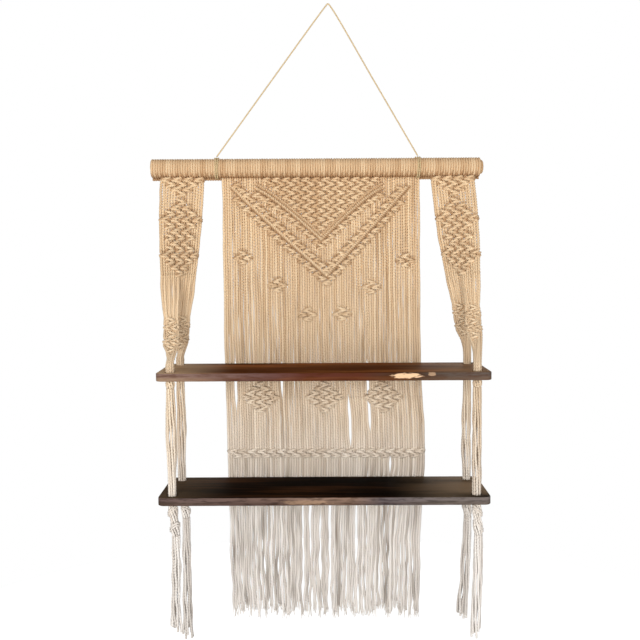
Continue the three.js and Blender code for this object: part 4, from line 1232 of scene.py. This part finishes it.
class ROPESHELF_OT_side_panels(bpy.types.Operator):
    """Make the two side nets and the four legs that lead from them to the upper board"""

    bl_idname = "rope_shelf.make_side_panels"
    bl_label = "Side panels"

    THICK = 6.0
    CLUSTER_SHARE = 0.6
    CLUSTER_ROW = 12.5
    CLUSTER_TURN = 0.3
    CLUSTER_ROWS = ((0,), (-1, 1), (0,), (-1, 1), (0,))
    CLUSTER_KNOT = (5.8, KNOT_WIDE * 0.86, 0.95, 0.35)  # half its height and width, size, painted shade
    NECK_DROP = 369.0
    PALER = 0.6  # the tones here, as a share of the backdrop's

    def execute(self, context):
        knots = side_knots()
        for side in SIGNS:
            walk = RopeWalk(f"{side}_panel_net_knotted")
            for k in range(SIDE_STRANDS):
                points = side_strand_points(side, k, knots)
                walk.lay(points, diameter=self.THICK, tone=self.tone(k))
            walk.piece("upper_shelf", f"{side}_panel_net")
            for end in HOLE_PLACES:
                self.leg(side, end)
        return done(self)

    def tone(self, k):
        return self.PALER * strand_tone(k + 7)

    def leg(self, side, end):
        """Eight strands that come together, are tied in a cluster of knots and go into a hole."""
        sign = SIGNS[side]
        outer = 1 if end == "front" else -1
        middle = sign * outer * SIDE_PITCH * SIDE_STRANDS / 4
        hole = corner_place(side, end)
        gather = GATHER_DROPS[side] - 10
        cluster = gather + 25
        start_turn = -sign * math.pi / 2 * SIDE_NET_DROP / UPPER_BOARD_DROP

        def place(across, deep, drop):
            along = side_place(side, middle, 0, min(drop, cluster))
            on = min(1, max(0.0, (drop - cluster) / (self.NECK_DROP - cluster)))
            x, y = (along[axis] + (hole[axis] - along[axis]) * on for axis in range(2))
            share = (drop - SIDE_NET_DROP) / (gather - SIDE_NET_DROP)
            turn = start_turn * (1 + (self.CLUSTER_TURN - 1) * min(1.0, max(0.0, share)))
            return (*turned(x, y, across, deep, turn), drop)

        walk = RopeWalk(f"{side}_{end}_leg_knotted")
        for k in range(BUNDLE_STRANDS):
            across = (k - (BUNDLE_STRANDS - 1) / 2) * SIDE_PITCH
            flat = []
            for t in evenly(0, 1, 9):
                drop = SIDE_NET_DROP + (gather - SIDE_NET_DROP) * t
                loose = 1.8 * math.sin(math.pi * t)
                away = sway(loose, (1.4, sign * 9 + outer * 4, 35, 5.2, 0), k, drop)
                deep = sway(loose, (2.1, sign * 3 + outer * 8, 30, 1.9, 0), k, drop)
                # Every other strand lies deeper and gets a little painted shade.
                flat.append((
                    across * (1 + (self.CLUSTER_SHARE - 1) * t) + away,
                    deep + (-1) ** k * min(1.0, 3 * t), drop,
                    1.08 - 0.08 * t, 0.04 * (1 + (-1) ** k),
                ))
            for row, places in enumerate(self.CLUSTER_ROWS):
                drop = gather + 5 + self.CLUSTER_ROW * row
                for m in places:
                    role = k - 2 - 2 * m
                    if 0 <= role < len(KNOT_WAYS):
                        near = 2 * SIDE_PITCH * self.CLUSTER_SHARE * m
                        flat += knot_way(role, near, drop, m % 2, *self.CLUSTER_KNOT)
            points = [(*place(a, n, drop), *rest) for a, n, drop, *rest in flat]
            angle = 2 * math.pi * (k + 0.5) / BUNDLE_STRANDS
            x = hole[0] + BUNDLE_RING * math.cos(angle)
            y = hole[1] + BUNDLE_RING * math.sin(angle)
            board_end = UPPER_BOARD_DROP + BOARD_THICKNESS - 0.6
            # Painted shade where the strands go into the hole.
            for drop in (self.NECK_DROP, UPPER_BOARD_DROP, board_end):
                points.append((x, y, drop, 1.0, 0.2))
            walk.lay(points, tone=self.tone(k if sign * outer < 0 else k + BUNDLE_STRANDS))
        walk.piece("upper_shelf", f"{side}_{end}_leg")


class ROPESHELF_OT_boards(bpy.types.Operator):
    """Make the two stained and varnished boards"""

    bl_idname = "rope_shelf.make_boards"
    bl_label = "Boards"

    CUTS = 120
    ROUGH_DEPTH = 4  # how far behind an edge its roughness reaches
    SHARP = math.radians(40)

    def execute(self, context):
        board = context.scene.board_settings
        # Each board: painted reflection at its ends, its bare patches, and its edge colours from
        # left to right, partly wear and partly painted reflection.
        self.board(
            "upper_board", "upper_shelf", UPPER_BOARD_DROP, board.upper_stain, board.upper_streak,
            (1.0, 0.38), ((149, -156, 6, 29, 6, 5.2, 1.0), (196, -155, 3, 7, 4, 4, 0.4)),
            ((0, (0.50, 0.40, 0.36)), (0.2, (0.42, 0.31, 0.29)), (0.42, (0.35, 0.19, 0.15)),
             (0.65, (0.34, 0.18, 0.13)), (0.85, (0.26, 0.21, 0.17)), (1, (0.38, 0.33, 0.30))),
        )
        self.board(
            "lower_board", "lower_shelf", LOWER_BOARD_DROP, board.lower_stain, board.lower_streak,
            (0.17, 0.48), ((-30, -156, 9, 50, 5, 5, 0.2),),
            ((0, (0.40, 0.33, 0.31)), (0.3, (0.44, 0.35, 0.31)), (0.48, (0.54, 0.44, 0.38)),
             (0.62, (0.52, 0.42, 0.36)), (0.75, (0.40, 0.36, 0.36)), (1, (0.46, 0.42, 0.40))),
        )
        return done(self)

    def middle(self, x, y, drop):
        """A place at half a board's thickness."""
        return Vector((x - NAIL_OFFSET, y, -(HANG_DROP + drop + BOARD_THICKNESS / 2))) * MM

    def board(self, node, body, drop, *look):
        settings = bpy.context.scene.board_settings
        board = bmesh.new()
        middle = self.middle(0, BOARD_BACK - BOARD_DEPTH / 2, drop)
        size = Matrix.Diagonal((BOARD_WIDTH * MM, BOARD_DEPTH * MM, BOARD_THICKNESS * MM, 1))
        bmesh.ops.create_cube(board, size=1, matrix=Matrix.Translation(middle) @ size)
        bevel(board, [e for e in board.edges if rise(e) > 1e-4], BOARD_CORNER * MM, 6)
        rims = []
        for edge in board.edges:
            up, down = (face.normal.z for face in edge.link_faces)
            if abs(up) + abs(down) > 0.5 and abs(up - down) > 0.5:
                rims.append(edge)
        bevel(board, rims, settings.edge_round, 3)
        for x in evenly(-BOARD_WIDTH / 2, BOARD_WIDTH / 2, self.CUTS)[1:-1]:
            bmesh.ops.bisect_plane(
                board, geom=board.verts[:] + board.edges[:] + board.faces[:],
                plane_co=((x - NAIL_OFFSET) * MM, 0, 0), plane_no=(1, 0, 0),
            )
        back = BOARD_BACK * MM
        front = back - BOARD_DEPTH * MM
        for vert in board.verts:
            x, y, z = vert.co
            near_front, near_back = (
                max(0.0, 1 - away / (self.ROUGH_DEPTH * MM)) for away in (y - front, back - y)
            )
            rough = drift(x * 38, z * 90, drop) + 0.5 * drift(x * 110, z * 200, drop)
            rough *= settings.edge_rough
            vert.co.y += abs(rough) * near_front - abs(rough) * near_back
            vert.co.z += 0.35 * rough * near_front * (1 if z > middle.z else -1)
        self.holes(board, drop)
        bmesh.ops.recalc_face_normals(board, faces=board.faces)
        board.normal_update()
        edge = board.verts.layers.float.new("edge")
        ends = [(sign * BOARD_WIDTH / 2 - NAIL_OFFSET) * MM for sign in (-1, 1)]
        for vert in board.verts:
            x, y = vert.co.xy
            inside = min(x - ends[0], ends[1] - x, y - front, back - y)
            vert[edge] = 1 - abs(vert.normal.z) if inside < BOARD_CORNER * MM / 2 else 0.0
        finish = board_finish(f"{node}_stain", drop, *look)
        piece = finished(f"{node}_stained", board, body, finish, "board", node)
        piece.data.set_sharp_from_angle(angle=self.SHARP)

    def holes(self, board, drop):
        """Cut the four rope holes through the board."""
        mesh, bit = (bpy.data.meshes.new(name) for name in ("board_blank", "board_drill"))
        board.to_mesh(mesh)
        drill = bmesh.new()
        for side in SIGNS:
            for end in ("back", "front"):
                bmesh.ops.create_cone(
                    drill, cap_ends=True, segments=32, radius1=HOLE_DIAMETER / 2 * MM,
                    radius2=HOLE_DIAMETER / 2 * MM, depth=2 * BOARD_THICKNESS * MM,
                    matrix=Matrix.Translation(self.middle(*corner_place(side, end), drop)),
                )
        drill.to_mesh(bit)
        drill.free()
        blank, cutter = (new_object(data.name, data) for data in (mesh, bit))
        cut = blank.modifiers.new("holes", "BOOLEAN")
        cut.operation, cut.object, cut.solver = "DIFFERENCE", cutter, "EXACT"
        bpy.context.view_layer.update()
        depsgraph = bpy.context.evaluated_depsgraph_get()
        drilled = bpy.data.meshes.new_from_object(
            blank.evaluated_get(depsgraph), depsgraph=depsgraph
        )
        board.clear()
        board.from_mesh(drilled)
        for thing in (blank, cutter):
            bpy.data.objects.remove(thing)
        for data in (mesh, bit, drilled):
            bpy.data.meshes.remove(data)


class ROPESHELF_OT_corner_ropes(bpy.types.Operator):
    """Make the knots under both boards, the ropes between them and the tassels"""

    bl_idname = "rope_shelf.make_corner_ropes"
    bl_label = "Corner ropes"

    LUMP, LOOP_REACH = 0.3, 3.6
    KNOT_ROPE, BUNDLE_ROPE, TASSEL_ROPE = 4.4, 4.6, 4.9
    # Under each board: the knots' whole height, their count, how far their strands start over
    # them, and the rope thrown round them
    KNOT_FORMS = {"upper": (14, 1, 0.5, 3.6), "lower": (60, 2, 7.0, 4.6)}
    # A tassel's length, and how far it hangs to the side at its top and its end
    TASSELS = {
        "left_front": (188, 6, 4), "left_back": (244, 7, 6),
        "right_front": (194, 4, 0), "right_back": (211, 3, -6),
    }

    def execute(self, context):
        for number, corner in enumerate(self.TASSELS):
            side, end = corner.split("_")
            x, y = corner_place(side, end)
            self.knots(corner, "upper", x, y, KNOT_TOP, number)
            self.ropes(corner, end, x, y, number)
            aside = self.TASSELS[corner][1]
            self.knots(corner, "lower", x, y, ROPE_BOTTOM + 7.4, number + 4, aside)
            self.tassel(corner, x, y, number)
        return done(self)

    def knots(self, corner, level, x, y, top, seed, aside=0.0):
        """Loosely tied lumps: the bundle turns and swells, and two ropes are thrown round each."""
        height, count, lead, rope = self.KNOT_FORMS[level]
        node = f"{corner}_{level}_knot"
        walk = RopeWalk(f"{node}_tied")
        points = [(x, y, top - lead, 1.0)]
        for t in evenly(0, 1, 6 * count)[1:]:
            swell = 1 + self.LUMP * math.sin(math.pi * t * count) ** 2
            points.append((x + aside * t, y, top + height * t, swell))
        lay_bundle(walk, points, self.KNOT_ROPE, seed + 0.3, twist=0.035, loose=1.0)
        widest = BUNDLE_RING + self.LOOP_REACH * min(1.0, height / 30)
        for k in range(count):
            for over in (-2.3, 2.3):
                loop = []
                for t in evenly(0, 1, 14):
                    angle = 1.3 * seed + 2.1 * k + 2 * math.pi * 1.15 * t
                    reach = widest * math.sin(math.pi * t) ** 0.4
                    drop = top + height / count * (k + 0.5 + 0.26 * math.cos(angle + seed)) + over
                    # The thrown ropes get a little painted shade.
                    loop.append((x + aside * (k + 0.5) / count + reach * math.cos(angle),
                                 y + reach * math.sin(angle), drop, 1.0, 0.1))
                walk.lay(loop, diameter=rope, tone=0.3)
        walk.piece(f"{level}_shelf", node)

    def ropes(self, corner, end, x, y, seed):
        walk = RopeWalk(f"{corner}_rope_strands")
        points = []
        for t in evenly(0, 1, 12):
            swell = 1 + 0.35 * math.sin(math.pi * t) + 0.1 * math.sin(2 * math.pi * t + seed)
            points.append((
                x + 2.2 * math.sin(math.pi * t) * drift(seed + 0.5, 2.2 * t, 3.1), y,
                ROPE_TOP + (ROPE_BOTTOM - ROPE_TOP) * t, swell,
            ))
        lay_bundle(walk, points, self.BUNDLE_ROPE, seed * 1.7, 0.006, 2.0, tied=True)
        walk.piece(f"{end}_ropes", f"{corner}_rope")

    def tassel(self, corner, x, y, seed):
        walk = RopeWalk(f"{corner}_tassel_strands")
        length, aside, end = self.TASSELS[corner]
        points = []
        for t in evenly(0, 1, 11):
            points.append((
                x + aside + (end - aside) * t + 3 * t * drift(seed + 0.5, 2.0 * t, 7.1),
                y + 3 * t * drift(seed + 3.5, 2.0 * t, 1.1),
                TASSEL_TOP + length * t, 1.05 + 0.55 * t,
            ))
        lay_bundle(walk, points, self.TASSEL_ROPE, seed * 2.3 + 1, 0.006, 3.0, ragged=5)
        walk.piece("lower_shelf", f"{corner}_tassel")


OPERATORS = (
    ROPESHELF_OT_stage,
    ROPESHELF_OT_hanging_cord,
    ROPESHELF_OT_dowel,
    ROPESHELF_OT_backdrop,
    ROPESHELF_OT_fringe,
    ROPESHELF_OT_side_panels,
    ROPESHELF_OT_boards,
    ROPESHELF_OT_corner_ropes,
)


class ROPESHELF_PT_panel(bpy.types.Panel):
    """Lists the sizes and colours and the operators in their order"""

    bl_label = "Rope Shelf"
    bl_idname = "ROPESHELF_PT_panel"
    bl_space_type = "VIEW_3D"
    bl_region_type = "UI"
    bl_category = "Rope Shelf"

    def draw(self, context):
        for settings in (context.scene.rope_settings, context.scene.board_settings):
            box = self.layout.box()
            for name in settings.bl_rna.properties.keys():
                if name not in {"rna_type", "name"}:
                    box.prop(settings, name)
        column = self.layout.column()
        for operator in OPERATORS:
            column.operator(operator.bl_idname)


CLASSES = (RopeSettings, BoardSettings, *OPERATORS, ROPESHELF_PT_panel)


def register():
    for each in CLASSES:
        bpy.utils.register_class(each)
    bpy.types.Scene.rope_settings = bpy.props.PointerProperty(type=RopeSettings)
    bpy.types.Scene.board_settings = bpy.props.PointerProperty(type=BoardSettings)


def unregister():
    del bpy.types.Scene.rope_settings
    del bpy.types.Scene.board_settings
    for each in reversed(CLASSES):
        bpy.utils.unregister_class(each)


def main():
    register()
    for operator in OPERATORS:
        group, action = operator.bl_idname.split(".")
        getattr(getattr(bpy.ops, group), action)()


if __name__ == "__main__":
    main()
